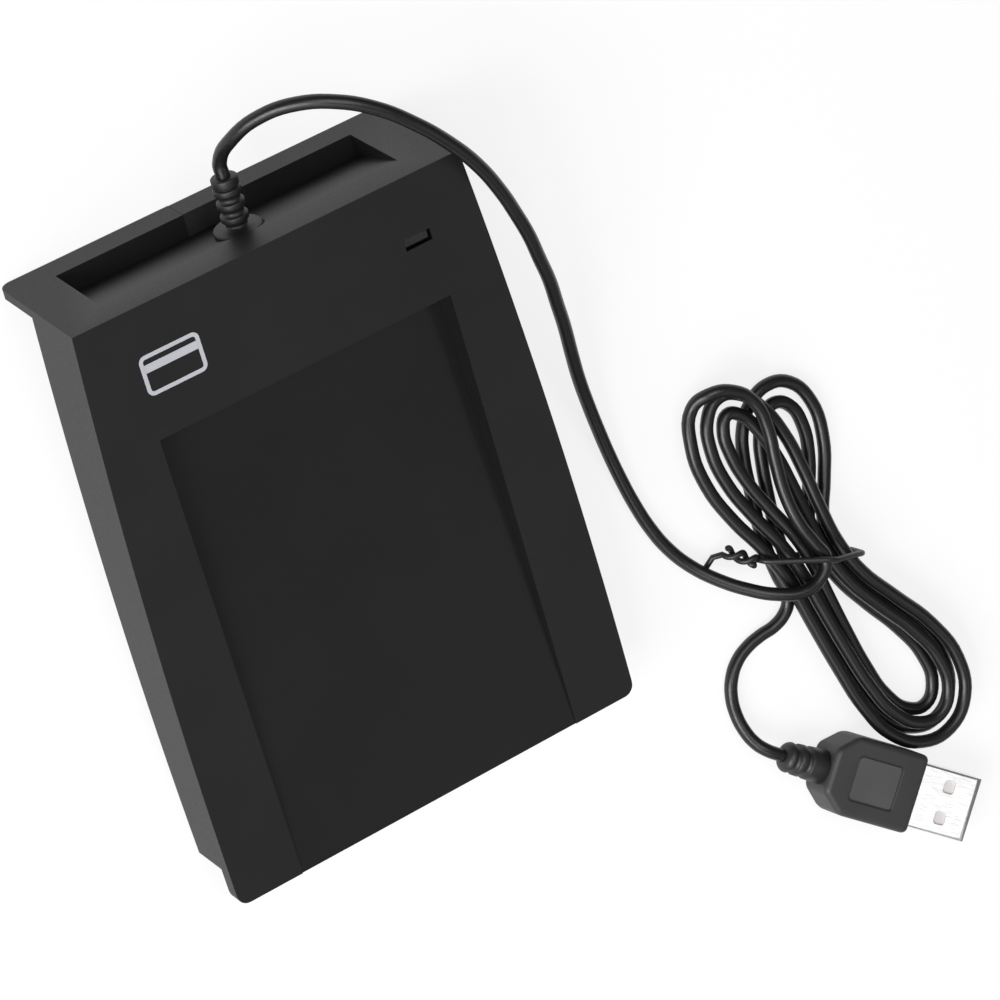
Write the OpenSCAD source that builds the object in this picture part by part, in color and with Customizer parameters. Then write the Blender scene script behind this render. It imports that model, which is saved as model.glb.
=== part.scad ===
// Desktop card reader: a sloped two-part plastic housing with a card tray in its top face,
// a circuit board with a wound coil inside, and a tied-up cord that ends in a flat plug.
// Millimetres, +Z up. X is the width, +Y points to the rear, where the cord leaves.
// The origin lies on the desk under the middle of the housing.

/* [Housing] */
// Width of the top face at its widest
front_width = 79.8; // [74:0.2:100]
// Width of the top face at the rear ridge
rear_width = 72.2; // [70:0.2:79]
// Length of the top face from the front edge to the rear ridge
top_length = 105.6; // [104:0.2:130]
// Distance of the widest place from the front edge
widest_v = 12; // [4:1:30]
// Angle of the top face above the desk
top_tilt = 8.5; // [7.5:0.1:11]
// Height of the front edge above the desk
lip_height = 10.6; // [10.2:0.1:14]
// Angle by which the rear face leans back from upright
rear_lean = 12.1; // [8:0.1:16]
// Angle of the underside above the desk
base_tilt = 6.3; // [5.6:0.1:7]
// Height of the underside's front edge above the desk
base_clearance = 0.5; // [0.4:0.1:1]
// Thickness of the side, front and rear walls
wall = 2; // [1.6:0.1:2.4]
// Thickness of the top plate
top_plate = 2; // [1.6:0.1:2.4]
// Thickness of the overhanging front lip
lip_thick = 3; // [2.6:0.1:3.6]
// Distance by which the lip stands ahead of the front wall
lip_overhang = 6.4; // [4:0.1:8]
// Thickness of the rear face where it runs down as a foot
foot_thick = 1.5; // [1.2:0.1:1.9]
// Corner radius of the lip and of the foot
corner_radius = 2; // [1:0.1:3]

/* [Card tray] */
// Width of the tray, for a 54 mm wide card
tray_width = 55.3; // [54.6:0.1:57]
// Length of the tray, open at the front edge
tray_length = 83.1; // [80:0.1:84]
// Distance by which the tray's rear wall leans back from its foot
tray_draft = 0.4; // [0.4:0.1:0.8]
// Depth of the tray at its rear edge
tray_depth = 4.8; // [4.3:0.1:5.2]
// Depth of the tray at the front edge
tray_front_depth = 0.2; // [0.1:0.05:0.6]
// Thickness of the tray's floor
tray_floor = 1.8; // [1.4:0.1:2]
// Thickness of the tray's side and rear walls
tray_wall = 1.8; // [1.4:0.1:2]

/* [Rear trough] */
// Width of the trough in the rear face
trough_width = 56; // [50:0.5:58]
// Distance from the ridge to the trough's upper edge
trough_top = 6; // [5:0.1:7]
// Distance from the ridge to the trough's lower edge
trough_bottom = 21.5; // [20.5:0.1:22]
// Depth of the trough at its lower edge
trough_depth = 4.1; // [3.4:0.1:4.6]
// Thickness of the trough's walls
trough_wall = 1.6; // [1.4:0.1:1.8]
// Width of the base tab that closes the rim under the gland
tab_width = 8.6; // [7:0.1:11]
// Thickness of the web that carries the tab
tab_web = 1.6; // [1.2:0.1:2]

/* [Status window] */
// Width of the status window
window_width = 5; // [4:0.1:6]
// Length of the status window
window_length = 2; // [1.6:0.1:2.6]
// Offset of the window from the middle
window_x = 24.9; // [23.5:0.1:25.2]
// Distance of the window from the front edge
window_v = 94.5; // [93.5:0.1:95.5]
// Depth of the light pipe's end below the top face
window_depth = 0.8; // [0.4:0.1:1.2]
// Width of the light pipe's flange beyond its stem
pipe_flange = 1.4; // [1:0.1:1.5]
// Thickness of the light pipe's flange
pipe_flange_thick = 1; // [0.8:0.1:1.4]
// Gap between the light pipe and the lamps under it
pipe_gap = 0.4; // [0.2:0.1:0.8]

/* [Base] */
// Thickness of the base plate
base_plate = 1.8; // [1.5:0.1:2]
// Gap between the base and the walls round it
base_fit = 0.15; // [0.1:0.05:0.2]
// Diameter of the rubber feet
pad_diameter = 9; // [7:0.5:10]
// Depth by which a rubber foot is set into the base
pad_seat = 0.9; // [0.7:0.1:1.1]
// Thickness of the plastic above a rubber foot
pad_cover = 1.4; // [1.2:0.1:1.6]
// Offset of the rubber feet from the middle
pad_x = 22; // [16:1:24]
// Distance of the rubber feet behind the front wall
pad_run = 9; // [7:0.5:11]

/* [Housing screws] */
// Diameter of the housing screws' thread
screw_diameter = 2.6; // [2.2:0.1:3]
// Length of the housing screws' thread
screw_length = 6; // [5:0.5:6.5]
// Diameter of the housing screws' heads
screw_head = 4.6; // [4.2:0.1:5]
// Height of the housing screws' heads
screw_head_height = 1.4; // [1.2:0.1:1.8]
// Radial gap round a screw in the plate that it passes through
screw_clearance = 0.2; // [0.15:0.05:0.3]
// Outer diameter of the screw bosses
boss_diameter = 5.4; // [5:0.1:5.6]
// Height of the cup that holds a screw head, above the base plate
cup_rise = 1.8; // [1.4:0.1:2.2]
// Thickness of the cup's wall and of the seat under a screw head
cup_wall = 1.2; // [1:0.1:1.2]
// Radial gap round a screw in the plastic that it cuts into
thread_fit = 0.05; // [0.03:0.01:0.08]
// Distance of the front screws from the housing's side
front_screw_side = 6.3; // [6.2:0.1:6.4]
// Distance of the front screws from the front edge
front_screw_v = 14; // [13:0.5:18]
// Distance of the rear screws from the housing's side
rear_screw_side = 6.1; // [6:0.1:6.2]
// Distance of the rear screws from the front edge
rear_screw_v = 90; // [89.5:0.1:90.5]

/* [Circuit board] */
// Width of the circuit board
board_width = 54; // [53:0.5:55]
// Distance of the board's rear edge ahead of the underside's rear end
board_rear_gap = 9.7; // [9.6:0.1:10.2]
// Thickness of the circuit board
board_thick = 1.6; // [1.2:0.1:1.7]
// Distance of the board's front edge behind the front wall
board_start = 13; // [12.5:0.5:14]
// Height of the posts that carry the board
post_height = 1.5; // [1.2:0.1:1.8]
// Diameter of the board's posts
post_diameter = 5; // [4.4:0.1:5.4]
// Diameter of the board screws' thread
board_screw = 2; // [1.8:0.1:2.2]
// Length of the board screws' thread
board_screw_length = 4; // [3.4:0.1:4.4]
// Diameter of the board screws' heads
board_screw_head = 3.8; // [3.4:0.1:4.2]
// Height of the board screws' heads
board_screw_head_height = 1.2; // [1:0.1:1.4]
// Offset of the board screws from the middle
board_screw_x = 23.5; // [23.2:0.1:24]
// Distance of the front board screws from the board's front edge
board_screw_front = 4; // [3.5:0.1:5]
// Distance of the rear board screws from the board's rear edge
board_screw_back = 13.5; // [13.2:0.1:14]

/* [Coil and chips] */
// Outer width of the wound coil
coil_width = 42; // [38:0.5:43]
// Outer length of the wound coil
coil_length = 50; // [46:0.5:51]
// Width of the coil's winding
coil_band = 3; // [2:0.1:4]
// Height of the coil's winding
coil_height = 1.6; // [1.2:0.1:1.8]
// Corner radius of the coil's outer edge
coil_corner = 6; // [5:0.5:8]
// Distance of the coil's middle from the board's front edge
coil_run = 35; // [34.5:0.1:35.5]
// Side of the square controller chip
controller_side = 9; // [7:0.5:10]
// Length of the radio chip
radio_length = 10; // [8:0.5:11]
// Width of the radio chip
radio_width = 6; // [5:0.5:7]
// Height of the chips
chip_height = 1.5; // [1.2:0.1:1.7]
// Height of a chip's underside above the board
chip_gap = 0.2; // [0.1:0.05:0.3]
// Distance of each chip from the coil's middle
chip_x = 8.5; // [8:0.5:9]
// Width of one chip lead
lead_width = 0.5; // [0.4:0.05:0.6]
// Distance by which a lead stands out of its chip
lead_reach = 1; // [0.8:0.1:1.2]
// Distance between two chip leads
lead_pitch = 1.3; // [1.2:0.05:1.5]

/* [Tall parts] */
// Distance of the tall parts from the board's rear edge
tall_edge = 0.5; // [0.4:0.1:0.8]
// Offset of the sounder from the middle
buzzer_x = 9; // [8:0.5:10]
// Offset of the supply capacitor from the middle
capacitor_x = -2; // [-3:0.5:0]
// Offset of the crystal from the middle
crystal_x = 18; // [17.5:0.1:18.5]
// Diameter of the sounder
buzzer_diameter = 9; // [8:0.5:9.5]
// Height of the sounder
buzzer_height = 5.2; // [4:0.1:5.8]
// Diameter of the sounder's sound hole
buzzer_hole = 2; // [1.5:0.1:2.5]
// Depth of the sounder's sound hole
buzzer_hole_depth = 1.2; // [0.8:0.1:2]
// Diameter of the supply capacitor
capacitor_diameter = 5; // [4:0.5:5]
// Height of the supply capacitor
capacitor_height = 5.8; // [5:0.1:6.2]
// Width of the crystal's can
crystal_width = 4.4; // [4:0.1:4.6]
// Length of the crystal's can
crystal_length = 10.5; // [9:0.5:11]
// Height of the crystal's can
crystal_height = 3.5; // [2.5:0.1:3.8]
// Width of one status lamp
lamp_width = 1.6; // [1.2:0.1:1.8]
// Length of one status lamp
lamp_length = 0.9; // [0.7:0.05:1.2]
// Height of one status lamp
lamp_height = 0.7; // [0.5:0.05:0.9]
// Length of one small passive part
passive_length = 2; // [1.6:0.1:2.2]
// Width of one small passive part
passive_width = 1.2; // [0.8:0.1:1.4]
// Height of one small passive part
passive_height = 0.8; // [0.5:0.1:1]

/* [Wire connector] */
// Distance between two wires of the connector
wire_pitch = 2; // [1.8:0.1:2.2]
// Diameter of one inner wire
wire_diameter = 0.9; // [0.8:0.05:0.95]
// Offset of the connector from the middle
connector_x = -14; // [-15:0.5:-13.5]
// Depth of the socket along the board
socket_depth = 8; // [7:0.5:8.5]
// Height of the socket
socket_height = 5; // [4.8:0.1:5.4]
// Thickness of the socket's walls
socket_wall = 0.9; // [0.7:0.1:1]
// Gap between the connector's plug and its socket
socket_fit = 0.1; // [0.05:0.05:0.15]
// Length of the connector's plug
wire_plug_length = 7; // [6:0.5:7.5]
// Distance by which the connector's plug goes into its socket
wire_plug_grip = 4.5; // [4:0.5:5]

/* [Gland] */
// Distance of the gland from the ridge, down the rear face
gland_drop = 10.6; // [10.6:0.1:11]
// Depth of the gland's flat seat below the rear face
seat_depth = 1.6; // [1.4:0.1:2]
// Diameter of the gland's flat seat
seat_diameter = 9; // [8.8:0.1:9.2]
// Diameter of the gland's outer flange
flange_diameter = 8.2; // [7.6:0.1:8.4]
// Diameter of the gland's inner flange
inner_flange = 6; // [5.6:0.1:6.2]
// Gap between the inner flange and the base
inner_flange_gap = 0.3; // [0.2:0.05:0.4]
// Thickness of a gland flange
flange_thick = 1.2; // [1:0.1:1.5]
// Diameter of the gland's neck in the wall
neck_diameter = 4.2; // [4:0.1:4.6]
// Radial gap round the neck
neck_fit = 0.15; // [0.1:0.05:0.2]
// Length of the gland outside its outer flange
gland_length = 9; // [7:0.5:11]
// Diameter of the gland's core between its ribs
core_diameter = 3.4; // [3:0.1:3.6]
// Diameter of the gland's ribs
rib_diameter = 4.8; // [4.2:0.1:5.2]
// Diameter of the collar at the gland's end
collar_diameter = 4.2; // [3.8:0.1:4.6]
// Width of one gland rib
rib_width = 1.2; // [1:0.1:1.3]
// Distance between two gland ribs
rib_pitch = 2.4; // [2.2:0.1:2.5]
// Length of the collar at the gland's end
collar_length = 1.2; // [1:0.1:1.4]

/* [Cord] */
// Diameter of the cord
cord_diameter = 2.4; // [2:0.1:2.5]
// Distance between neighbouring loops
hank_step = 3.55; // [3.5:0.05:3.6]
// Extra distance between the loops at the waist
waist_step = -0.62; // [-0.65:0.01:-0.6]
// Height from one layer of loops to the next
hank_rise = 3.1; // [3.05:0.05:3.2]
// Length of the upper layer's loops ahead of the tie
high_loop = 37.6; // [37.4:0.1:38]
// Length of the lower layer's loops ahead of the tie
low_loop = 30.7; // [30.4:0.1:31]
// Length of the hank behind its tie
hank_lower = 45.2; // [45:0.1:45.4]
// Half width of the loops ahead of the tie
upper_half = 11; // [10.9:0.1:11.2]
// Half width of the loops behind the tie
lower_half = 15.6; // [15.4:0.1:15.8]
// Half width of the hank at its tie
hank_waist = 6.65; // [6.65:0.05:6.8]
// Length over which the loops ahead of the tie are drawn in
upper_draw = 17; // [16.5:0.5:17.5]
// Length over which the loops behind the tie are drawn in
lower_draw = 31; // [30.5:0.5:31.5]
// Sideways bow of the upper layer's loops ahead of the tie
high_bow = -1; // [-1.2:0.1:-0.8]
// Sideways bow of the lower layer's loops ahead of the tie
low_bow = 10; // [9.8:0.1:10.2]
// Sideways bow of the loops behind the tie
lower_bow = 8.4; // [8.2:0.1:8.6]
// Diameter of the tie wire
tie_diameter = 1.1; // [0.9:0.1:1.2]
// Gap between the tie wire and the loops
tie_gap = 0.3; // [0.2:0.05:0.4]
// Slope of the tie across the hank, which lies further ahead on the left
tie_slant = 0.6; // [0.5:0.05:0.65]
// Extra room between the tie and the outer loops, as it crosses where they spread
tie_room = 0.8; // [0.7:0.05:0.9]
// Length of the tie wire's twisted ends
twist_length = 5.5; // [5:0.1:5.6]
// Angle between the twisted ends and the tie's own plane
twist_lean = 52; // [48:1:54]
// Fall of the twisted ends over each mm of their length
twist_fall = 0.3; // [0.2:0.05:0.35]
// Length of one turn of the twisted ends
twist_pitch = 5; // [4.8:0.1:5.4]

/* [Plug] */
// Width of the plug's metal shell
shell_width = 12; // [11.6:0.1:12.4]
// Height of the plug's metal shell
shell_height = 4.5; // [4.3:0.1:4.7]
// Length of the shell outside the moulded grip
shell_length = 13.2; // [12:0.1:13.4]
// Length of the shell inside the moulded grip
shell_root = 5; // [4:0.1:6]
// Thickness of the shell's sheet
shell_sheet = 0.32; // [0.3:0.01:0.4]
// Side of one square window in the shell
shell_window = 2.4; // [2:0.1:2.6]
// Distance of the windows from the shell's open end
shell_window_run = 5.2; // [5:0.1:5.6]
// Distance of each window's middle from the plug's middle
shell_window_x = 2.9; // [2.7:0.1:3]
// Length of the moulded grip
grip_length = 19.5; // [17:0.5:21]
// Width of the moulded grip
grip_width = 14.6; // [14:0.1:15.4]
// Height of the moulded grip
grip_height = 8; // [7.6:0.1:8.6]
// Edge radius of the moulded grip
grip_round = 1.2; // [0.8:0.1:1.6]
// Length of the grip's tapered shoulders
shoulder_length = 4.2; // [3.8:0.1:4.6]
// Width of the grip where the strain relief leaves it
shoulder_width = 8; // [7:0.1:9]
// Length of the sunk panel on each face of the grip
panel_length = 10; // [9:0.1:10.6]
// Width of the sunk panel
panel_width = 8.6; // [8:0.1:9.4]
// Depth of the sunk panel
panel_depth = 0.4; // [0.3:0.05:0.6]
// Length of the plug's strain relief
relief_length = 8.4; // [7.8:0.1:9.4]
// Diameter of the strain relief at the grip
relief_diameter = 6.4; // [6:0.1:6.8]
// Diameter of the strain relief at the cord
relief_tip = 5.4; // [5:0.1:5.8]
// Width of one groove in the strain relief
groove_width = 0.9; // [0.8:0.1:1.2]
// Distance between two grooves in the strain relief
groove_pitch = 2.4; // [2.2:0.1:2.6]
// Distance of the first groove from the relief's cord end
groove_start = 2.1; // [1.8:0.1:2.4]
// Depth of the grooves in the strain relief
groove_depth = 0.7; // [0.4:0.05:0.8]
// Edge taken off the relief's cord end
relief_chamfer = 1; // [0.8:0.1:1.2]
// Thickness of the plug's tongue
tongue_thick = 1.9; // [1.7:0.1:2]
// Gap between the tongue and the shell's sides
tongue_fit = 0.1; // [0.05:0.01:0.15]
// Distance by which the tongue stops short of the shell's end
tongue_back = 1; // [0.6:0.1:1.4]
// Width of one contact
contact_width = 1; // [0.8:0.1:1.2]
// Length of one contact
contact_length = 7.4; // [6:0.1:8]
// Thickness of one contact
contact_thick = 0.15; // [0.1:0.01:0.2]
// Distance between the two inner contacts
contact_pitch = 2; // [2:0.1:2.2]
// Extra distance of the outer contacts
contact_spread = 0.5; // [0.4:0.05:0.5]

/* [Hidden] */

overrun = 1;
round_sides = 48;
side_arc_steps = 16;

// Side view points are [y, z]. A direction is a unit vector, and meet() finds where two lines cross.
function along(angle) = [cos(angle), sin(angle)];
function down(angle) = [sin(angle), -cos(angle)];
function wedge(a, b) = a[0] * b[1] - a[1] * b[0];
function meet(p, a, q, b) = p + a * wedge(q - p, b) / wedge(a, b);

// The housing's side view, with the front edge at the middle of the length ahead of the origin
ridge_height = lip_height + top_length * sin(top_tilt);
overall_length = top_length * cos(top_tilt) + ridge_height * tan(rear_lean);
front_edge = [-overall_length / 2, lip_height];
top_dir = along(top_tilt);
top_down = down(top_tilt);
rear_down = down(rear_lean);
rear_in = -along(rear_lean);
base_dir = along(base_tilt);
base_up = -down(base_tilt);
ridge = front_edge + top_dir * top_length;
// v runs back along the top face, and d goes down from it
function top_point(v, d) = front_edge + top_dir * v + top_down * d;
// s runs down the rear face from the ridge, and t goes into the housing
function rear_point(s, t) = ridge + rear_down * s + rear_in * t;
base_front = let (p = top_point(lip_overhang, 0)) p + top_down * (p[1] - base_clearance) / cos(top_tilt);
base_rear = meet(base_front, base_dir, ridge, rear_down);
base_rear_run = norm(base_rear - base_front);
// b runs back along the underside from the front wall, and h goes up from it
function base_point(b, h) = base_front + base_dir * b + base_up * h;
function base_run(p) = (p - base_front) * base_dir;
function base_rise(p) = (p - base_front) * base_up;

// The sides are arcs that close in towards the ridge
side_radius = pow(top_length - widest_v, 2) / (front_width - rear_width);
prism_height = 4 * ridge_height;
far_length = overall_length + ridge_height;
side_lead = ridge_height / 2;
// The foot's lower edge
foot_run = ridge_height / cos(rear_lean);
foot_v = (rear_point(foot_run, 0) - front_edge) * top_dir;
function half_width(v) = front_width / 2 - side_radius + sqrt(pow(side_radius, 2) - pow(v - widest_v, 2));

// Heights above the underside
board_bottom = base_plate + post_height;
board_top = board_bottom + board_thick;
board_end = base_rear_run - board_rear_gap;
board_length = board_end - board_start;
board_screw_runs = [board_screw_front, board_length - board_screw_back];
lamp_place = meet(top_point(window_v, 0), top_down, base_point(0, board_top), base_dir);
lamp_run = base_run(lamp_place);
lamp_distance = norm(lamp_place - top_point(window_v, 0));
pad_top = base_point(pad_run, 0)[1] + pad_seat;

// Heights above the underside on a screw's axis
cup_height = base_plate + cup_rise;
cup_diameter = screw_head + 2 * screw_clearance + 2 * cup_wall;
head_seat = cup_height - cup_wall;

// The gland's frame: s down the rear face, then outward square to it
gland_seat = -seat_depth;
gland_tip = gland_seat + flange_thick + gland_length;
gland_inner = gland_seat - trough_wall - flange_thick;

// The plug lies on the desk
plug_place = [65.2, -82.2, grip_height / 2];
plug_turn = -41;

// Hank: where its tie lies on the desk, and which way its upper end points
hank_place = [83, -51.1];
hank_turn = 100.3;
hank_loops = 4;
loop_rings = 24;
// Rings of the first loop that lie ahead of its first pass of the waist
early_rings = 5;
hank_sides = 6;
cord_sides = 8;
tie_lift = tie_diameter + tie_gap;
// The rings lie closer together at the waist, by this angle
closer_rings = 7;
// The climb down takes the inverse of this part of a loop, and starts a little ahead of the waist
drop_rate = 5;
drop_lead = 0.15;
function unit(p) = p / norm(p);
// u runs along the hank's axis towards its upper end, and q to the side
function hank_to_desk(u, q, z) = [
    hank_place[0] + u * cos(hank_turn) + q * sin(hank_turn),
    hank_place[1] + u * sin(hank_turn) - q * cos(hank_turn), z];
// The loops spiral in on top, climb down behind the tie at the half way point, and spiral out below.
// t counts the loops, and is a whole number at the waist's left side.
function hank_point(t) = let (
    even = 270 - 360 * t,
    turn = even + closer_rings * sin(2 * even),
    inner = min(t, hank_loops - t),
    drop = max(0, min(1, drop_rate * (t - hank_loops / 2) + drop_lead)),
    upper = cos(turn) > 0,
    reach = upper ? high_loop + (low_loop - high_loop) * drop : hank_lower,
    bow = upper ? high_bow + (low_bow - high_bow) * drop : lower_bow,
    draw = upper ? upper_draw : lower_draw,
    full = upper ? upper_half : lower_half,
    u = (reach - hank_step * inner) * cos(turn),
    waist = exp(-pow(u / draw, 2)),
    half = full - (full - hank_waist) * waist - (hank_step + waist_step * waist) * inner,
    q = half * sin(turn) * sqrt(1 + pow(cos(turn), 2)),
    lean = atan(2 * bow * u * waist / pow(draw, 2)))
    hank_to_desk(u - q * sin(lean), bow * (1 - waist) + q * cos(lean),
        cord_diameter / 2 + tie_lift * waist + hank_rise * (1 - drop));
// The last end runs straight on, along the hank's axis, for one diameter
hank_along = [-cos(hank_turn), -sin(hank_turn), 0];
hank_route = concat([for (i = [-early_rings : hank_loops * loop_rings]) hank_point(i / loop_rings)],
    [hank_point(hank_loops) + hank_along * cord_diameter]);
hank_first = hank_route[0];
hank_last = hank_route[len(hank_route) - 1];

// The cord's free stretches, as places chosen by hand. The lead hooks under the tie, on top of the
// loops, and runs out over them to the outermost place.
hook_side = 0.4;
tie_end = [[10.6, -15.4, 2.2], [9.4, -17, 1.2], [8, -18.8, 0.8]];
hook_run = [[3.5, 0, 8.8], [8, -0.6, 8.4], [14, 0, 7.6], [20, 1.6, 7.2], [26, 3.4, 7.1], [31, 3.6, 7.1],
    [35.3, 1.2, 7.1], [37.4, -3, 6.4]];
gland_place = rear_point(gland_drop, -gland_tip);
lead_leave = rear_point(gland_drop, -gland_tip - cord_diameter);
lead_route = concat([[0, gland_place[0], gland_place[1]], [0, lead_leave[0], lead_leave[1]]],
    [[1.9, 66.3, 22.6], [6, 68.6, 26.8], [11, 68.8, 30.4], [16.4, 67, 33], [21.8, 63.6, 34.2],
    [27, 58.8, 34.2], [32, 53.2, 32.8], [36.4, 47.2, 30.6], [40, 40.6, 27.8], [42.2, 35.5, 25.5],
    [44, 30.5, 23.5], [45.5, 25.5, 21], [47, 20.5, 18.5], [48, 15.5, 16], [49, 10.5, 13.5],
    [49.7, 5, 11], [50.5, -0.5, 8.5], [51.5, -6, 6.3], [52.5, -11.5, 4.5], [53.5, -17, 3],
    [54.5, -22.5, 2], [55.6, -28, 1.4], [57, -33.5, 1.2], [58.9, -38.5, 1.3], [61.5, -43, 2],
    [64.8, -47, 3.6], [68.6, -50.4, 5.6], [72.8, -53.1, 7.6], [77.2, -54.6, 8.7], [81, -53.9, 8.8],
    [83.4, -51, 8.8]],
    [for (p = hook_run) hank_to_desk(p[0], p[1], p[2])], [hank_first]);
plug_in = [cos(plug_turn), sin(plug_turn), 0];
tail_route = concat([hank_last],
    [[76.8, -57.3, 2.5], [75.4, -59.3, 2.2], [73, -60.6, 1.8], [70, -61.1, 1.4], [67, -61.9, 1.2],
    [64.2, -63.4, 1.2], [62.2, -65.7, 1.2], [61, -68.6, 1.2], [60.6, -71.9, 1.3], [60.8, -75.2, 1.9],
    [61.6, -78, 2.7], [62.9, -80, 3.5]],
    [plug_place]);

module on_top(v = 0) {
    translate([0, top_point(v, 0)[0], top_point(v, 0)[1]]) rotate([top_tilt, 0, 0]) children();
}
module on_base(b = 0, h = 0) {
    translate([0, base_point(b, h)[0], base_point(b, h)[1]]) rotate([base_tilt, 0, 0]) children();
}
// Z points out of the rear face
module on_rear(s = 0) {
    translate([0, rear_point(s, 0)[0], rear_point(s, 0)[1]]) rotate([rear_lean - 90, 0, 0]) children();
}
module on_plug() {
    translate(plug_place) rotate([0, 0, plug_turn]) children();
}
// A side view outline drawn out over a width
module slab(width, points) {
    rotate([90, 0, 90]) translate([0, 0, -width / 2]) linear_extrude(height = width) polygon(points);
}
module disc(diameter, height, sides = round_sides) {
    cylinder(d = diameter, h = height, $fn = sides);
}
module block(size) {
    translate([-size[0] / 2, -size[1] / 2, 0]) cube(size);
}
// The space between the two bowed sides, moved in by an inset
module planform(inset) {
    half = [for (i = [0 : side_arc_steps])
        let (v = (i / side_arc_steps) * (far_length + side_lead) - side_lead) [half_width(v) - inset, v]];
    other_half = [for (i = [side_arc_steps : -1 : 0]) [-half[i][0], half[i][1]]];
    on_top() translate([0, 0, -prism_height / 2]) linear_extrude(height = prism_height)
        polygon(concat(half, other_half));
}
module corner_cut(radius) {
    translate([-radius, -radius, -prism_height / 2]) difference() {
        cube([radius + overrun, radius + overrun, prism_height]);
        translate([0, 0, -overrun]) cylinder(r = radius, h = prism_height + 2 * overrun, $fn = round_sides);
    }
}

// Housing
module cover_outside() {
    lip_under = top_point(0, lip_thick);
    lip_root = meet(lip_under, top_dir, base_front, top_down);
    foot_line = [1, 0];
    foot_inside = rear_point(0, foot_thick);
    slab(front_width + 2 * overrun, [front_edge, ridge, meet(ridge, rear_down, [0, 0], foot_line),
        meet(foot_inside, rear_down, [0, 0], foot_line), meet(foot_inside, rear_down, base_front, base_dir),
        base_front, lip_root, lip_under]);
}
module cover_inside() {
    roof_front = top_point(lip_overhang + wall, top_plate);
    roof_rear = meet(roof_front, top_dir, rear_point(0, wall), rear_down);
    low_front = roof_front + top_down * ridge_height;
    low_rear = roof_rear + rear_down * ridge_height;
    intersection() {
        slab(front_width, [roof_front, roof_rear, low_rear, low_front]);
        planform(wall);
    }
}
module tray_block() {
    back = tray_length + tray_wall;
    slab(tray_width + 2 * tray_wall, [top_point(0, 0), top_point(back, 0),
        top_point(back, tray_depth + tray_floor), top_point(0, tray_front_depth + tray_floor)]);
}
module tray_cut() {
    slab(tray_width, [top_point(-overrun, -overrun), top_point(tray_length, -overrun),
        top_point(tray_length, 0), top_point(tray_length - tray_draft, tray_depth),
        top_point(0, tray_front_depth), top_point(-overrun, tray_front_depth)]);
}
module trough_block() {
    slab(trough_width + 2 * trough_wall, [rear_point(trough_top - trough_wall, 0),
        rear_point(trough_top - trough_wall, wall),
        rear_point(trough_bottom + trough_wall, trough_depth + trough_wall),
        rear_point(trough_bottom + trough_wall, 0)]);
}
module trough_cut() {
    slab(trough_width, [rear_point(trough_top, -overrun), rear_point(trough_top, 0),
        rear_point(trough_bottom, trough_depth), rear_point(trough_bottom, -overrun)]);
}
module tab_cut() {
    deep = trough_depth + 2 * trough_wall;
    slab(tab_width, [rear_point(trough_bottom, -overrun), rear_point(trough_bottom, deep),
        rear_point(far_length, deep), rear_point(far_length, -overrun)]);
}
// One frame for all that belongs to a screw: on its axis at the underside, pointing up into the cover
module each_screw() {
    for (place = [[front_screw_side, front_screw_v], [rear_screw_side, rear_screw_v]], side = [-1, 1]) {
        $room = under_depth(place[1]) - top_plate;
        translate([side * (half_width(place[1]) - place[0]), 0, 0]) on_top(place[1])
            translate([0, 0, -under_depth(place[1])]) children();
    }
}
// Distance from the top face to the underside, square to the top face
function under_depth(v) = norm(meet(top_point(v, 0), top_down, base_front, base_dir) - top_point(v, 0));
module cover_bosses() {
    low = cup_height + base_fit;
    each_screw() translate([0, 0, low]) disc(boss_diameter, $room - low + top_plate / 2);
}
module cover_bores() {
    each_screw() translate([0, 0, cup_height])
        disc(screw_diameter + 2 * thread_fit,
            head_seat + screw_length + thread_fit - cup_height + screw_clearance);
}
module top_cover() {
    color([0.15, 0.15, 0.16]) difference() {
        intersection() {
            union() {
                difference() {
                    cover_outside();
                    cover_inside();
                }
                tray_block();
                trough_block();
                on_rear(gland_drop) translate([0, 0, gland_seat - trough_wall])
                    disc(seat_diameter, trough_wall);
                cover_bosses();
            }
            planform(0);
        }
        tray_cut();
        trough_cut();
        tab_cut();
        cover_bores();
        on_rear(gland_drop) {
            translate([0, 0, gland_seat]) disc(seat_diameter, seat_depth + overrun);
            translate([0, 0, gland_seat - trough_wall - overrun])
                disc(neck_diameter + 2 * neck_fit, trough_wall + 2 * overrun);
            translate([0, 0, gland_seat - trough_wall - trough_depth]) disc(seat_diameter, trough_depth);
        }
        translate([window_x, 0, 0]) on_top(window_v) translate([0, 0, -top_plate - overrun])
            block([window_width, window_length, top_plate + 2 * overrun]);
        for (flip = [0, 1]) mirror([flip, 0, 0]) {
            on_top() translate([half_width(0), 0, 0]) mirror([0, 1, 0]) corner_cut(corner_radius);
            on_rear(foot_run) translate([half_width(foot_v), 0, 0]) corner_cut(corner_radius);
        }
    }
}

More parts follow.
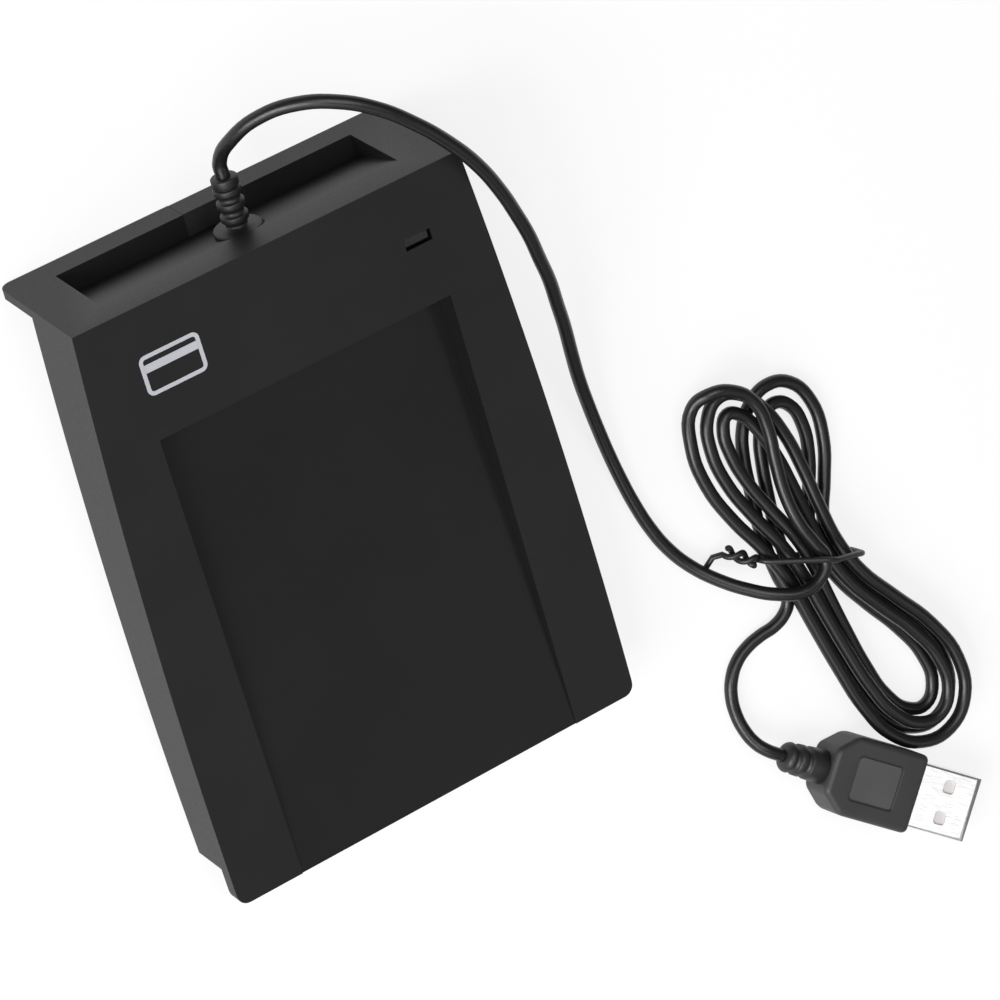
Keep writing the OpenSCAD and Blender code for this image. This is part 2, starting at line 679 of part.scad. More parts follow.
module base_cover() {
    inset = wall + base_fit;
    rear_line = rear_point(0, wall + base_fit);
    block_line = rear_point(trough_bottom + trough_wall, trough_depth + trough_wall + base_fit);
    block_dir = rear_down * (trough_bottom - trough_top + 2 * trough_wall)
        + rear_in * (trough_depth + trough_wall - wall);
    plate_low = [base_point(inset, 0), meet(base_front, base_dir, rear_line, rear_down)];
    plate_high = [base_point(inset, base_plate),
        meet(base_point(0, base_plate), base_dir, rear_line, rear_down)];
    color([0.13, 0.13, 0.14]) difference() {
        union() {
            difference() {
                intersection() {
                    slab(front_width, [plate_low[0], plate_low[1], plate_high[1], plate_high[0]]);
                    planform(inset);
                }
                // Room for the trough, with a slope that runs parallel to the trough's own
                slab(trough_width + 2 * trough_wall + 2 * base_fit, [
                    meet(base_point(0, -overrun), base_dir, block_line, block_dir),
                    meet(base_point(0, base_plate + overrun), base_dir, block_line, block_dir),
                    base_point(base_rear_run + overrun, base_plate + overrun),
                    base_point(base_rear_run + overrun, -overrun)]);
            }
            base_cups();
            base_posts();
            for (side = [-1, 1])
                translate([side * pad_x, 0, 0]) on_base(pad_run)
                    disc(pad_diameter + 2 * wall, pad_seat + pad_cover);
            base_tab(block_line, block_dir);
        }
        cup_bores();
        on_rear(gland_drop) translate([0, 0, gland_inner - trough_depth])
            disc(inner_flange + 2 * inner_flange_gap, flange_thick + trough_depth);
        for (x = [-board_screw_x, board_screw_x], b = board_screw_runs)
            translate([x, 0, 0]) on_base(board_start + b, board_top - board_screw_length)
                disc(board_screw, board_screw_length + overrun);
        for (side = [-1, 1])
            translate([side * pad_x, base_point(pad_run, 0)[0], 0]) disc(pad_diameter, pad_top);
    }
}
// The tab hangs on a web under the trough and closes the rim below the gland
module base_tab(block_line, block_dir) {
    web_top = meet(base_point(0, base_plate), base_dir, block_line, block_dir);
    top_line = rear_point(trough_bottom + base_fit, 0);
    low_line = rear_point(trough_bottom + base_fit + trough_wall, 0);
    foot_line = [1, 0];
    slab(tab_width - 2 * base_fit, [
        web_top,
        meet(block_line, block_dir, top_line, rear_in),
        top_line,
        meet(ridge, rear_down, [0, base_fit], foot_line),
        meet(rear_point(0, foot_thick), rear_down, [0, base_fit], foot_line),
        rear_point(trough_bottom + base_fit + trough_wall, foot_thick),
        meet(block_line - base_dir * tab_web, block_dir, low_line, rear_in),
        web_top - base_dir * tab_web]);
}
module base_cups() {
    each_screw() translate([0, 0, base_plate / 2]) disc(cup_diameter, cup_height - base_plate / 2);
}
module cup_bores() {
    each_screw() {
        translate([0, 0, -overrun]) disc(screw_head + 2 * screw_clearance, head_seat + overrun);
        disc(screw_diameter + 2 * screw_clearance, cup_height + overrun);
    }
}
module base_posts() {
    for (x = [-board_screw_x, board_screw_x], b = board_screw_runs)
        translate([x, 0, 0]) on_base(board_start + b) disc(post_diameter, board_bottom);
}
module rubber_feet() {
    color([0.2, 0.2, 0.2]) for (side = [-1, 1])
        translate([side * pad_x, base_point(pad_run, 0)[0], 0]) disc(pad_diameter - 2 * base_fit, pad_top);
}
module housing_screws() {
    color([0.7, 0.7, 0.72]) each_screw() {
        translate([0, 0, head_seat - screw_head_height]) disc(screw_head, screw_head_height);
        translate([0, 0, head_seat - screw_head_height / 2])
            disc(screw_diameter, screw_length + screw_head_height / 2);
    }
}
module light_pipe() {
    stem = lamp_distance - lamp_height - pipe_gap;
    color([0.3, 0.3, 0.32]) translate([window_x, 0, 0]) on_top(window_v) {
        translate([0, 0, -stem])
            block([window_width - 2 * base_fit, window_length - 2 * base_fit, stem - window_depth]);
        translate([0, 0, -top_plate - pipe_flange_thick])
            block([window_width + 2 * pipe_flange, window_length + 2 * pipe_flange, pipe_flange_thick]);
    }
}

// Circuit board and what it carries
module circuit_board() {
    color([0.1, 0.4, 0.2]) difference() {
        on_base(board_start, board_bottom)
            translate([-board_width / 2, 0, 0]) cube([board_width, board_length, board_thick]);
        for (x = [-board_screw_x, board_screw_x], b = board_screw_runs)
            translate([x, 0, 0]) on_base(board_start + b, board_bottom - overrun)
                disc(board_screw + 2 * screw_clearance, board_thick + 2 * overrun);
    }
}
module board_screws() {
    color([0.75, 0.75, 0.76]) for (x = [-board_screw_x, board_screw_x], b = board_screw_runs)
        translate([x, 0, 0]) on_base(board_start + b, board_top) {
            disc(board_screw_head, board_screw_head_height);
            translate([0, 0, thread_fit - board_screw_length])
                disc(board_screw - 2 * thread_fit,
                    board_screw_length - thread_fit + board_screw_head_height / 2);
        }
}
module on_board(x, b) {
    translate([x, 0, 0]) on_base(board_start + b, board_top) children();
}
// A flat plate with round corners
module round_plate(width, length, height, radius) {
    for (x = [-1, 1], y = [-1, 1])
        translate([x * (width / 2 - radius), y * (length / 2 - radius), 0]) disc(2 * radius, height);
    block([width - 2 * radius, length, height]);
    block([width, length - 2 * radius, height]);
}
module antenna_coil() {
    color([0.72, 0.4, 0.2]) on_board(0, coil_run) difference() {
        round_plate(coil_width, coil_length, coil_height, coil_corner);
        translate([0, 0, -overrun]) round_plate(coil_width - 2 * coil_band, coil_length - 2 * coil_band,
            coil_height + 2 * overrun, coil_corner - coil_band);
    }
}
module controller_chip() {
    color([0.08, 0.08, 0.08]) on_board(-chip_x, coil_run) translate([0, 0, chip_gap])
        block([controller_side, controller_side, chip_height]);
}
module radio_chip() {
    color([0.1, 0.1, 0.1]) on_board(chip_x, coil_run) translate([0, 0, chip_gap])
        block([radio_width, radio_length, chip_height]);
}
// Leads down both long sides of a chip
module lead_rows(width, length) {
    count = floor((length - lead_width) / lead_pitch);
    for (side = [-1, 1], k = [0 : count - 1])
        translate([side * (width + lead_reach) / 2, (k - (count - 1) / 2) * lead_pitch, 0])
            block([lead_reach, lead_width, chip_gap + chip_height / 3]);
}
module chip_leads() {
    color([0.75, 0.75, 0.75]) {
        on_board(-chip_x, coil_run) lead_rows(controller_side, controller_side);
        on_board(chip_x, coil_run) lead_rows(radio_width, radio_length);
    }
}
module small_passives() {
    // Places as shares of the coil's inner half length, in front of and behind the chips
    place_shares = [[-0.6, -0.72], [-0.2, -0.72], [0.2, -0.72], [0.6, -0.72], [-0.6, 0.72], [-0.2, 0.72],
        [0.2, 0.72], [0.6, 0.72]];
    color([0.6, 0.55, 0.45]) for (share = place_shares)
        on_board(share[0] * (coil_width / 2 - coil_band), coil_run + share[1] * (coil_length / 2 - coil_band))
            block([passive_length, passive_width, passive_height]);
}
module crystal() {
    color([0.8, 0.8, 0.8]) on_board(crystal_x, board_length - crystal_length / 2 - tall_edge)
        round_plate(crystal_width, crystal_length, crystal_height, crystal_width / 2.5);
}
module supply_capacitor() {
    color([0.1, 0.15, 0.3]) on_board(capacitor_x, board_length - capacitor_diameter / 2 - tall_edge)
        disc(capacitor_diameter, capacitor_height);
}
module buzzer() {
    color([0.05, 0.05, 0.05])
        on_board(buzzer_x, board_length - buzzer_diameter / 2 - tall_edge) difference() {
        disc(buzzer_diameter, buzzer_height);
        translate([0, 0, buzzer_height - buzzer_hole_depth]) disc(buzzer_hole, buzzer_hole_depth + overrun);
    }
}
module status_lamps() {
    color([0.95, 0.95, 0.85]) for (side = [-1, 1])
        on_board(window_x + side * window_width / 4, lamp_run - board_start)
            block([lamp_width, lamp_length, lamp_height]);
}

// Wire connector
plug_body = [4 * wire_pitch, wire_plug_length, socket_height - 2 * socket_wall - 2 * socket_fit];
module wire_socket() {
    color([0.9, 0.88, 0.8]) on_board(connector_x, board_length) difference() {
        translate([0, -socket_depth / 2, 0])
            block([plug_body[0] + 2 * socket_fit + 2 * socket_wall, socket_depth, socket_height]);
        translate([0, (overrun - wire_plug_grip) / 2, socket_wall])
            block([plug_body[0] + 2 * socket_fit, wire_plug_grip + overrun, socket_height - 2 * socket_wall]);
    }
}
module wire_plug() {
    color([0.93, 0.93, 0.9]) on_board(connector_x, board_length)
        translate([0, wire_plug_length / 2 - wire_plug_grip, socket_wall]) block(plug_body);
}
// Places here are [x, b, h] over the underside
wire_out = rear_point(gland_drop, -gland_inner);
wire_column = wire_diameter + base_fit;
plug_back = board_end + wire_plug_length - wire_plug_grip;
function wire_start(k) = [0, base_run(wire_out), base_rise(wire_out) + (1.5 - k) * wire_column];
function wire_end(k) = [connector_x + (1.5 - k) * wire_pitch, plug_back, board_top + socket_height / 2];
function bend(a, b, c, d, t) = a * pow(1 - t, 3) + b * 3 * t * pow(1 - t, 2) + c * 3 * t * t * (1 - t)
    + d * pow(t, 3);
// The lower a wire starts, the farther it goes, and the wider its turn
function inner_route(k) = let (a = wire_start(k), d = wire_end(k), reach = a[1] - d[1])
    [for (i = [0 : 12]) bend(a, a - [0, reach, 0], d + [0, (1 + 0.7 * k) * reach, 0], d, i / 12)];
module inner_wires() {
    colours = [[0.1, 0.1, 0.1], [0.1, 0.6, 0.2], [0.9, 0.9, 0.9], [0.8, 0.1, 0.1]];
    for (k = [0 : 3]) color(colours[k]) on_base() tube(inner_route(k), wire_diameter, hank_sides);
}

// Gland: an outer flange in its seat, a neck through the wall, an inner flange, and a ribbed sleeve
module cable_gland() {
    color([0.09, 0.09, 0.09]) on_rear(gland_drop) translate([0, 0, gland_inner]) {
        disc(inner_flange, flange_thick);
        disc(neck_diameter, flange_thick + trough_wall + flange_thick / 2);
        translate([0, 0, flange_thick + trough_wall]) disc(flange_diameter, flange_thick);
        translate([0, 0, 1.5 * flange_thick + trough_wall])
            disc(core_diameter, gland_length + flange_thick / 2);
        for (k = [0 : 2]) translate([0, 0, 2 * flange_thick + trough_wall + rib_pitch / 2 + k * rib_pitch])
            disc(rib_diameter, rib_width);
        translate([0, 0, 2 * flange_thick + trough_wall + gland_length - collar_length])
            disc(collar_diameter, collar_length);
    }
}

// A tube along a route of places, with flat ends and triangular faces
module tube(route, diameter, sides, first_ahead = undef, last_ahead = undef) {
    last = len(route) - 1;
    points = [for (i = [0 : last]) let (
        ahead = i == 0 && is_list(first_ahead) ? first_ahead : i == last && is_list(last_ahead) ? last_ahead
            : unit(route[min(i + 1, last)] - route[max(i - 1, 0)]),
        across = unit(cross(ahead, [0, 0, 1])),
        up = cross(across, ahead))
        for (k = [0 : sides - 1])
            route[i] + (across * cos(360 * k / sides) + up * sin(360 * k / sides)) * diameter / 2];
    walls = [for (i = [0 : last - 1], k = [0 : sides - 1]) let (
        a = i * sides + k,
        b = i * sides + (k + 1) % sides)
        each [[a, b, b + sides], [a, b + sides, a + sides]]];
    start_cap = [for (k = [1 : sides - 2]) [0, k + 1, k]];
    end_cap = [for (k = [1 : sides - 2]) [last * sides, last * sides + k, last * sides + k + 1]];
    polyhedron(points = points, faces = concat(walls, start_cap, end_cap), convexity = 10);
}
module cord_lead() {
    color([0.07, 0.07, 0.07]) tube(lead_route, cord_diameter, cord_sides,
        last_ahead = unit(hank_route[1] - hank_first));
}
module cord_hank() {
    measure_hank();
    color([0.07, 0.07, 0.07]) tube(hank_route, cord_diameter, hank_sides);
}
module cord_tail() {
    color([0.07, 0.07, 0.07]) tube(tail_route, cord_diameter, cord_sides, hank_along, plug_in);
}
// Prints the least gap between stretches of the hank, on points and the middles between them
module measure_hank() {
    count = len(hank_route) - 1;
    fine = [for (i = [0 : count - 1], part = [0, 0.25, 0.5, 0.75])
        hank_route[i] * (1 - part) + hank_route[i + 1] * part];
    apart = 12;
    gaps = [for (i = [0 : len(fine) - 1], j = [i + apart : 1 : len(fine) - 1]) norm(fine[i] - fine[j])];
    echo(least_gap_of_the_hank = min(gaps) - cord_diameter);
}
// The tie wire goes once round the waist, and its ends are twisted together
module hank_tie() {
    offset = cord_diameter / 2 + tie_gap + tie_diameter / 2;
    low = cord_diameter / 2 + tie_lift;
    spread = (tie_diameter + 1.5 * tie_gap) / 2;
    left = hank_waist + tie_room;
    right = hank_waist - (hank_step + waist_step) / 2 + tie_room;
    centres = [[-left, low + hank_rise], [hook_side, low + 2 * hank_rise], [right, low + hank_rise],
        [right, low], [-left, low]];
    facing = [180, 90 + atan2(hank_rise, hook_side + left), 90 - atan2(hank_rise, right - hook_side),
        0, -90, -180];
    wrap = [for (k = [0 : 4], step = [0 : 3]) let (angle = facing[k] + (facing[k + 1] - facing[k]) * step / 3)
        centres[k] + offset * along(angle)];
    steps = len(wrap) - 1;
    band = [for (i = [0 : steps]) hank_to_desk(spread * (1 - 2 * i / steps) - tie_slant * wrap[i][0],
        wrap[i][0], wrap[i][1])];
    twist_steps = 10;
    function twist(side, i) = let (
        far = twist_length * i / twist_steps,
        angle = 360 * far / twist_pitch,
        across = side * spread * cos(angle),
        run = tie_diameter + far)
        hank_to_desk(run * sin(twist_lean) + across * cos(twist_lean) - tie_slant * wrap[0][0],
            wrap[0][0] - run * cos(twist_lean) + across * sin(twist_lean),
            wrap[0][1] - twist_fall * far + side * spread * sin(angle));
    color([0.06, 0.06, 0.06]) tube(concat([for (i = [twist_steps : -1 : 0]) twist(1, i)], band,
        [for (i = [0 : twist_steps]) twist(-1, i)], [for (p = tie_end) hank_to_desk(p[0], p[1], p[2])]),
        tie_diameter, hank_sides);
}

// Plug: X runs from the cord to the open end
grip_start = relief_length;
grip_end = grip_start + grip_length;
module bar(size, start) {
    translate([start, -size[1] / 2, -size[2] / 2]) cube(size);
}
module plug_relief() {
    function radius_at(x) = (relief_tip + (relief_diameter - relief_tip) * x / relief_length) / 2;
    grooves = [for (k = [0, 1]) let (
        x = groove_start + k * groove_pitch,
        low = x - groove_width / 2,
        high = x + groove_width / 2)
        each [[radius_at(low), low], [radius_at(low) - groove_depth, low],
            [radius_at(high) - groove_depth, high], [radius_at(high), high]]];
    color([0.09, 0.09, 0.09]) on_plug() rotate([0, 90, 0]) rotate_extrude($fn = round_sides)
        polygon(concat([[0, 0], [relief_tip / 2 - relief_chamfer, 0],
            [radius_at(relief_chamfer), relief_chamfer]], grooves,
            [[relief_diameter / 2, relief_length], [0, relief_length]]));
}
module plug_grip() {
    color([0.09, 0.09, 0.09]) on_plug() difference() {
        intersection() {
            translate([0, 0, -grip_height / 2]) linear_extrude(height = grip_height) polygon([
                [grip_start, -shoulder_width / 2], [grip_start + shoulder_length, -grip_width / 2],
                [grip_end, -grip_width / 2], [grip_end, grip_width / 2],
                [grip_start + shoulder_length, grip_width / 2], [grip_start, shoulder_width / 2]]);
            translate([grip_start, 0, 0]) rotate([0, 90, 0])
                round_plate(grip_height, grip_width, grip_length, grip_round);
        }
        for (flip = [0, 1]) mirror([0, 0, flip])
            translate([(grip_start + grip_end - panel_length) / 2, -panel_width / 2,
                grip_height / 2 - panel_depth]) cube([panel_length, panel_width, panel_depth + overrun]);
        bar([shell_root + overrun, shell_width + 2 * tongue_fit, shell_height + 2 * tongue_fit],
            grip_end - shell_root);
    }
}
module plug_shell() {
    inside = [shell_width - 2 * shell_sheet, shell_height - 2 * shell_sheet];
    full = shell_root + shell_length;
    color([0.8, 0.8, 0.82]) on_plug() difference() {
        bar([full, shell_width, shell_height], grip_end - shell_root);
        bar([full + 2 * overrun, inside[0], inside[1]], grip_end - shell_root - overrun);
        for (side = [-1, 1])
            translate([grip_end + shell_length - shell_window_run - shell_window,
                side * shell_window_x - shell_window / 2, -shell_height])
                cube([shell_window, shell_window, 2 * shell_height]);
    }
}
tongue_width = shell_width - 2 * shell_sheet - 2 * tongue_fit;
tongue_low = shell_height / 2 - shell_sheet - tongue_thick;
module plug_tongue() {
    color([0.92, 0.92, 0.9]) on_plug() {
        translate([grip_end - shell_root, -tongue_width / 2, tongue_low])
            cube([shell_root + shell_length - tongue_back, tongue_width, tongue_thick]);
        bar([shell_root, tongue_width, shell_height - 2 * shell_sheet], grip_end - shell_root);
    }
}
module plug_contacts() {
    inner = contact_pitch / 2;
    outer = inner + contact_pitch + contact_spread;
    color([0.85, 0.7, 0.35]) on_plug() for (side = [-1, 1], x = [inner, outer])
        translate([grip_end + shell_length - tongue_back - tongue_thick / 2 - contact_length,
            side * x - contact_width / 2, tongue_low - contact_thick])
            cube([contact_length, contact_width, contact_thick]);
}

top_cover();
base_cover();
light_pipe();
rubber_feet();
housing_screws();
circuit_board();
board_screws();
antenna_coil();
controller_chip();
radio_chip();
chip_leads();
small_passives();
crystal();
supply_capacitor();
buzzer();
status_lamps();
wire_socket();
wire_plug();
inner_wires();
cable_gland();
cord_lead();
cord_hank();
cord_tail();
hank_tie();
plug_relief();
plug_grip();
plug_shell();
plug_tongue();
plug_contacts();
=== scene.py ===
"""Desktop card reader with a tied-up cord and a flat plug: looks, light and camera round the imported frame.

Sizes in the classes are millimetres; the scene itself is in metres, in the same frame as the solids.
"""
import logging
import math
from dataclasses import dataclass
from enum import Enum
from functools import cache
from typing import Callable, Iterable, Sequence

import bmesh
import bpy
import numpy as np
from mathutils import Matrix, Vector


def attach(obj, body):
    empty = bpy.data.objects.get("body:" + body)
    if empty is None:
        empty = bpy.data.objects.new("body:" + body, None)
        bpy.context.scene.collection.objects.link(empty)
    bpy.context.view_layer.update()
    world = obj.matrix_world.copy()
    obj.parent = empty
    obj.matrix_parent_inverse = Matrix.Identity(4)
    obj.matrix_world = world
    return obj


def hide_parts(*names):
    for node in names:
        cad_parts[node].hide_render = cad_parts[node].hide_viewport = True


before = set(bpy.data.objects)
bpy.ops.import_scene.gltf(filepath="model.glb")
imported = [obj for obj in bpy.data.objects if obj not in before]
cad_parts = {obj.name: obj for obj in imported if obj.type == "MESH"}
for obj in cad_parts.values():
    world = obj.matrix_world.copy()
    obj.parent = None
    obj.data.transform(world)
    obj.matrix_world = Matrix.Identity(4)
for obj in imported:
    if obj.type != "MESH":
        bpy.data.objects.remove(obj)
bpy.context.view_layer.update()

Point = tuple[float, float, float]
Pair = tuple[float, float]

LOG = logging.getLogger("card_reader")
MM = 0.001
BODY = "root"
# How far a cutting solid reaches past the face that it opens.
PAST = 1.0
# How far a cutting solid reaches past the whole housing.
FAR = 60.0
# How close to a face or a rim a place counts as on it.
NEAR = 0.05
# Least upright part of its normal with which a face counts as level.
LEVEL = 0.9
# Least size that isn't nought.
TINY = 1e-6
# The plug's end on the cord, where the cord's route stops.
PLUG_PLACE: Point = (65.2, -82.2, 4.0)
WHITE = (1.0, 1.0, 1.0, 1.0)
DUST = (0.32, 0.31, 0.3, 1.0)


class Cut(Enum):
    """How one solid acts on another."""

    JOIN = "UNION"
    TAKE = "DIFFERENCE"
    KEEP = "INTERSECT"


# Angles and outlines


def aim(degrees: float) -> Pair:
    """Returns the cosine and the sine of an angle in degrees."""
    return math.cos(math.radians(degrees)), math.sin(math.radians(degrees))


def arc(start: int = 0, step: int = 15) -> list[Pair]:
    """Returns the cosine and the sine of each angle over a quarter turn, in steps of some degrees."""
    return [aim(a) for a in range(start, start + 91, step)]


def below(degrees: float) -> np.ndarray:
    """Returns the direction down from a line that rises at an angle in degrees, square to it."""
    c, s = aim(degrees)
    return np.array((s, -c))


def round_loop(middle: Pair, size: Pair, radius: float) -> list[Pair]:
    """Draws a rectangle with round corners.

    Args:
        middle: Its middle.
        size: Its two sides.
        radius: Radius of its corners.

    Returns:
        Its outline.
    """
    half_a, half_b = size[0] / 2 - radius, size[1] / 2 - radius
    return [(middle[0] + side_a * half_a + radius * c, middle[1] + side_b * half_b + radius * s)
            for side_a, side_b, start in ((1, 1, 0), (-1, 1, 90), (-1, -1, 180), (1, -1, 270))
            for c, s in arc(start)]


# Shader building


class Nodes:
    """A node tree with short ways to add and join nodes."""

    def __init__(self, tree: bpy.types.NodeTree) -> None:
        """Takes the tree that the nodes go into."""
        self.tree = tree

    def add(self, kind: str, settings: dict[str, object] | None = None, **inputs: object) -> bpy.types.Node:
        """Adds one node.

        Args:
            kind: Blender's class name without its ShaderNode beginning.
            settings: Values for the node's own properties.
            inputs: Values or sockets for its inputs, named as in feed.

        Returns:
            The node.
        """
        node = self.tree.nodes.new("ShaderNode" + kind)
        for name, value in (settings or {}).items():
            setattr(node, name, value)
        self.feed(node, **inputs)
        return node

    def feed(self, node: bpy.types.Node, **inputs: object) -> None:
        """Sets or links some of a node's inputs.

        Args:
            node: The node.
            inputs: Values or sockets, named as the inputs with underscores for spaces, or i and a number.
        """
        for name, value in inputs.items():
            key = int(name[1:]) if name[0] == "i" and name[1:].isdigit() else name.replace("_", " ")
            self.put(node.inputs[key], value)

    def put(self, socket: bpy.types.NodeSocket, value: object) -> None:
        """Sets one socket or links another socket to it.

        Args:
            socket: The socket.
            value: Its value, or the socket that feeds it.
        """
        if isinstance(value, bpy.types.NodeSocket):
            self.tree.links.new(value, socket)
        else:
            socket.default_value = value

    def math(self, operation: str, a: object, b: object = 0.0, clamp: bool = False) -> bpy.types.NodeSocket:
        """Returns the result of one arithmetic step on two values or sockets."""
        return self.add("Math", {"operation": operation, "use_clamp": clamp}, i0=a, i1=b).outputs[0]

    def ramp(self, value: bpy.types.NodeSocket, low: float, high: float) -> bpy.types.NodeSocket:
        """Returns 0 under low and 1 over high, with a soft step between them."""
        soft = {"interpolation_type": "SMOOTHSTEP"}
        return self.add("MapRange", soft, Value=value, From_Min=low, From_Max=high).outputs["Result"]

    def blend(self, mask: object, low: object, high: object) -> bpy.types.NodeSocket:
        """Returns a colour between two colours or colour sockets."""
        return self.add("Mix", {"data_type": "RGBA"}, Factor=mask, A=low, B=high).outputs["Result"]

    def bump(self, skin: bpy.types.Node, height: bpy.types.NodeSocket, strength: float, depth: float) -> None:
        """Gives a shader a relief.

        Args:
            skin: The shader.
            height: Socket that gives the relief's height.
            strength: How strongly the relief shades.
            depth: What a height of 1 stands for, in millimetres.
        """
        relief = self.add("Bump", Height=height, Strength=strength, Distance=depth * MM)
        self.feed(skin, Normal=relief.outputs["Normal"])


def shade(colour: Sequence[float], factor: float = 1.0) -> tuple[float, float, float, float]:
    """Returns a colour with its brightness scaled, as red, green, blue and alpha."""
    return tuple(min(1.0, c * factor) for c in colour[:3]) + (1.0,)


class Effects:
    """Node groups that several finishes share. Each is built once, when it is first asked for."""

    @staticmethod
    def _open(name: str, inputs: dict[str, float],
              outputs: Sequence[str]) -> tuple[Nodes, bpy.types.Node, bpy.types.Node]:
        """Starts a group.

        Args:
            name: The group's name.
            inputs: Names and defaults of its value inputs.
            outputs: Names of its value outputs.

        Returns:
            The group's tree, with its input end and its output end.
        """
        tree = bpy.data.node_groups.new(name, "ShaderNodeTree")
        for key, default in inputs.items():
            socket = tree.interface.new_socket(key, in_out="INPUT", socket_type="NodeSocketFloat")
            socket.default_value = default
        for key in outputs:
            tree.interface.new_socket(key, in_out="OUTPUT", socket_type="NodeSocketFloat")
        return Nodes(tree), tree.nodes.new("NodeGroupInput"), tree.nodes.new("NodeGroupOutput")

    @staticmethod
    @cache
    def grain() -> bpy.types.NodeTree:
        """Builds the moulded surface.

        Returns:
            A group with fine eroded grain as Height, and broad soft patches as Patches.
        """
        n, start, end = Effects._open("Moulded grain", {"Grain Scale": 3000.0, "Patch Scale": 40.0},
                                      ("Height", "Patches"))
        place = n.add("TexCoord").outputs["Object"]
        scale = start.outputs["Grain Scale"]
        fine = n.add("TexNoise", Vector=place, Scale=scale, Detail=3.0, Roughness=0.65)
        pits = n.add("TexVoronoi", {"feature": "SMOOTH_F1"}, Vector=place, Smoothness=0.5,
                     Scale=n.math("MULTIPLY", scale, 0.8))
        broad = n.add("TexNoise", Vector=place, Scale=start.outputs["Patch Scale"], Detail=2.0, Roughness=0.5)
        n.feed(end, Height=n.math("ADD", n.math("MULTIPLY", fine.outputs["Fac"], 0.7),
                                  n.math("MULTIPLY", pits.outputs["Distance"], 0.3)),
               Patches=n.ramp(broad.outputs["Fac"], 0.3, 0.7))
        return n.tree

    @staticmethod
    @cache
    def dust() -> bpy.types.NodeTree:
        """Builds the settled dust.

        Returns:
            A group with sparse light specks on faces that look up, as Dust.
        """
        n, start, end = Effects._open("Settled dust", {"Speck Scale": 900.0, "Amount": 0.3}, ("Dust",))
        place = n.add("TexCoord").outputs["Object"]
        up = n.add("SeparateXYZ", Vector=n.add("NewGeometry").outputs["Normal"]).outputs["Z"]
        specks = n.add("TexVoronoi", {"feature": "F1"}, Vector=place, Scale=start.outputs["Speck Scale"])
        small = n.math("SUBTRACT", 1.0, n.ramp(specks.outputs["Distance"], 0.03, 0.09))
        somewhere = n.ramp(n.add("TexNoise", Vector=place, Scale=120.0, Detail=2.0).outputs["Fac"], 0.5, 0.75)
        share = n.math("MULTIPLY", n.ramp(up, 0.2, 0.9), start.outputs["Amount"])
        n.feed(end, Dust=n.math("MULTIPLY", n.math("MULTIPLY", small, somewhere), share))
        return n.tree

    @staticmethod
    @cache
    def scratches() -> bpy.types.NodeTree:
        """Builds the hair lines.

        Returns:
            A group with hair lines along X of a turned frame, as Lines, and faint smears, as Smears.
        """
        n, start, end = Effects._open("Hair lines", {"Turn": 0.0}, ("Lines", "Smears"))
        place = n.add("TexCoord").outputs["Object"]
        turned = n.add("VectorRotate", {"rotation_type": "Z_AXIS"}, Vector=place, Angle=start.outputs["Turn"])
        thin = n.add("Mapping", Vector=turned.outputs["Vector"], Scale=(400.0, 9000.0, 9000.0))
        lines = n.add("TexNoise", Vector=thin.outputs["Vector"], Scale=1.0, Detail=2.0)
        smears = n.add("TexNoise", Vector=place, Scale=260.0, Detail=3.0)
        n.feed(end, Lines=n.ramp(lines.outputs["Fac"], 0.42, 0.62),
               Smears=n.ramp(smears.outputs["Fac"], 0.4, 0.7))
        return n.tree


@dataclass(frozen=True)
class Finish:
    """What every finish has.

    Attributes:
        name: The material's name.
    """

    name: str

    def material(self) -> bpy.types.Material:
        """Builds the finish.

        Returns:
            The material.
        """
        material = bpy.data.materials.new(self.name)
        material.use_nodes = True
        self.fill(Nodes(material.node_tree), material.node_tree.nodes["Principled BSDF"])
        return material

    def fill(self, n: Nodes, skin: bpy.types.Node) -> None:
        """Adds the finish's own nodes.

        Args:
            n: The material's nodes.
            skin: The material's Principled BSDF.
        """
        raise NotImplementedError


@dataclass(frozen=True)
class Plastic(Finish):
    """A moulded finish: plastic, rubber or resin.

    Attributes:
        colour: Its colour.
        rough: Roughness of the skin.
        swing: How far the grain changes the roughness.
        grain: Size of the moulded grain.
        depth: Height of the grain.
        patches: How far the colour swings over the broad patches.
        sheen: Level of the plain reflection.
        coat: Weight of a glossy skin.
        dust: Share of the dust specks.
    """

    colour: tuple[float, float, float]
    rough: float = 0.5
    swing: float = 0.25
    grain: float = 0.3
    depth: float = 0.02
    patches: float = 0.12
    sheen: float = 0.5
    coat: float = 0.0
    dust: float = 0.15

    def fill(self, n: Nodes, skin: bpy.types.Node) -> None:
        """Adds the grain, the patches and the dust.

        Args:
            n: The material's nodes.
            skin: The material's Principled BSDF.
        """
        grain = n.add("Group", {"node_tree": Effects.grain()}, Grain_Scale=1.0 / (self.grain * MM),
                      Patch_Scale=55.0)
        dust = n.add("Group", {"node_tree": Effects.dust()}, Amount=self.dust)
        low, high = shade(self.colour, 1.0 - self.patches), shade(self.colour, 1.0 + self.patches)
        tone = n.blend(grain.outputs["Patches"], low, high)
        swing = n.math("MULTIPLY", n.math("SUBTRACT", grain.outputs["Height"], 0.5), self.swing)
        n.feed(skin, Base_Color=n.blend(dust.outputs["Dust"], tone, DUST),
               Roughness=n.math("ADD", self.rough, swing, clamp=True),
               Specular_IOR_Level=self.sheen, Coat_Weight=self.coat, Coat_Roughness=0.2)
        n.bump(skin, grain.outputs["Height"], strength=0.6, depth=self.depth)


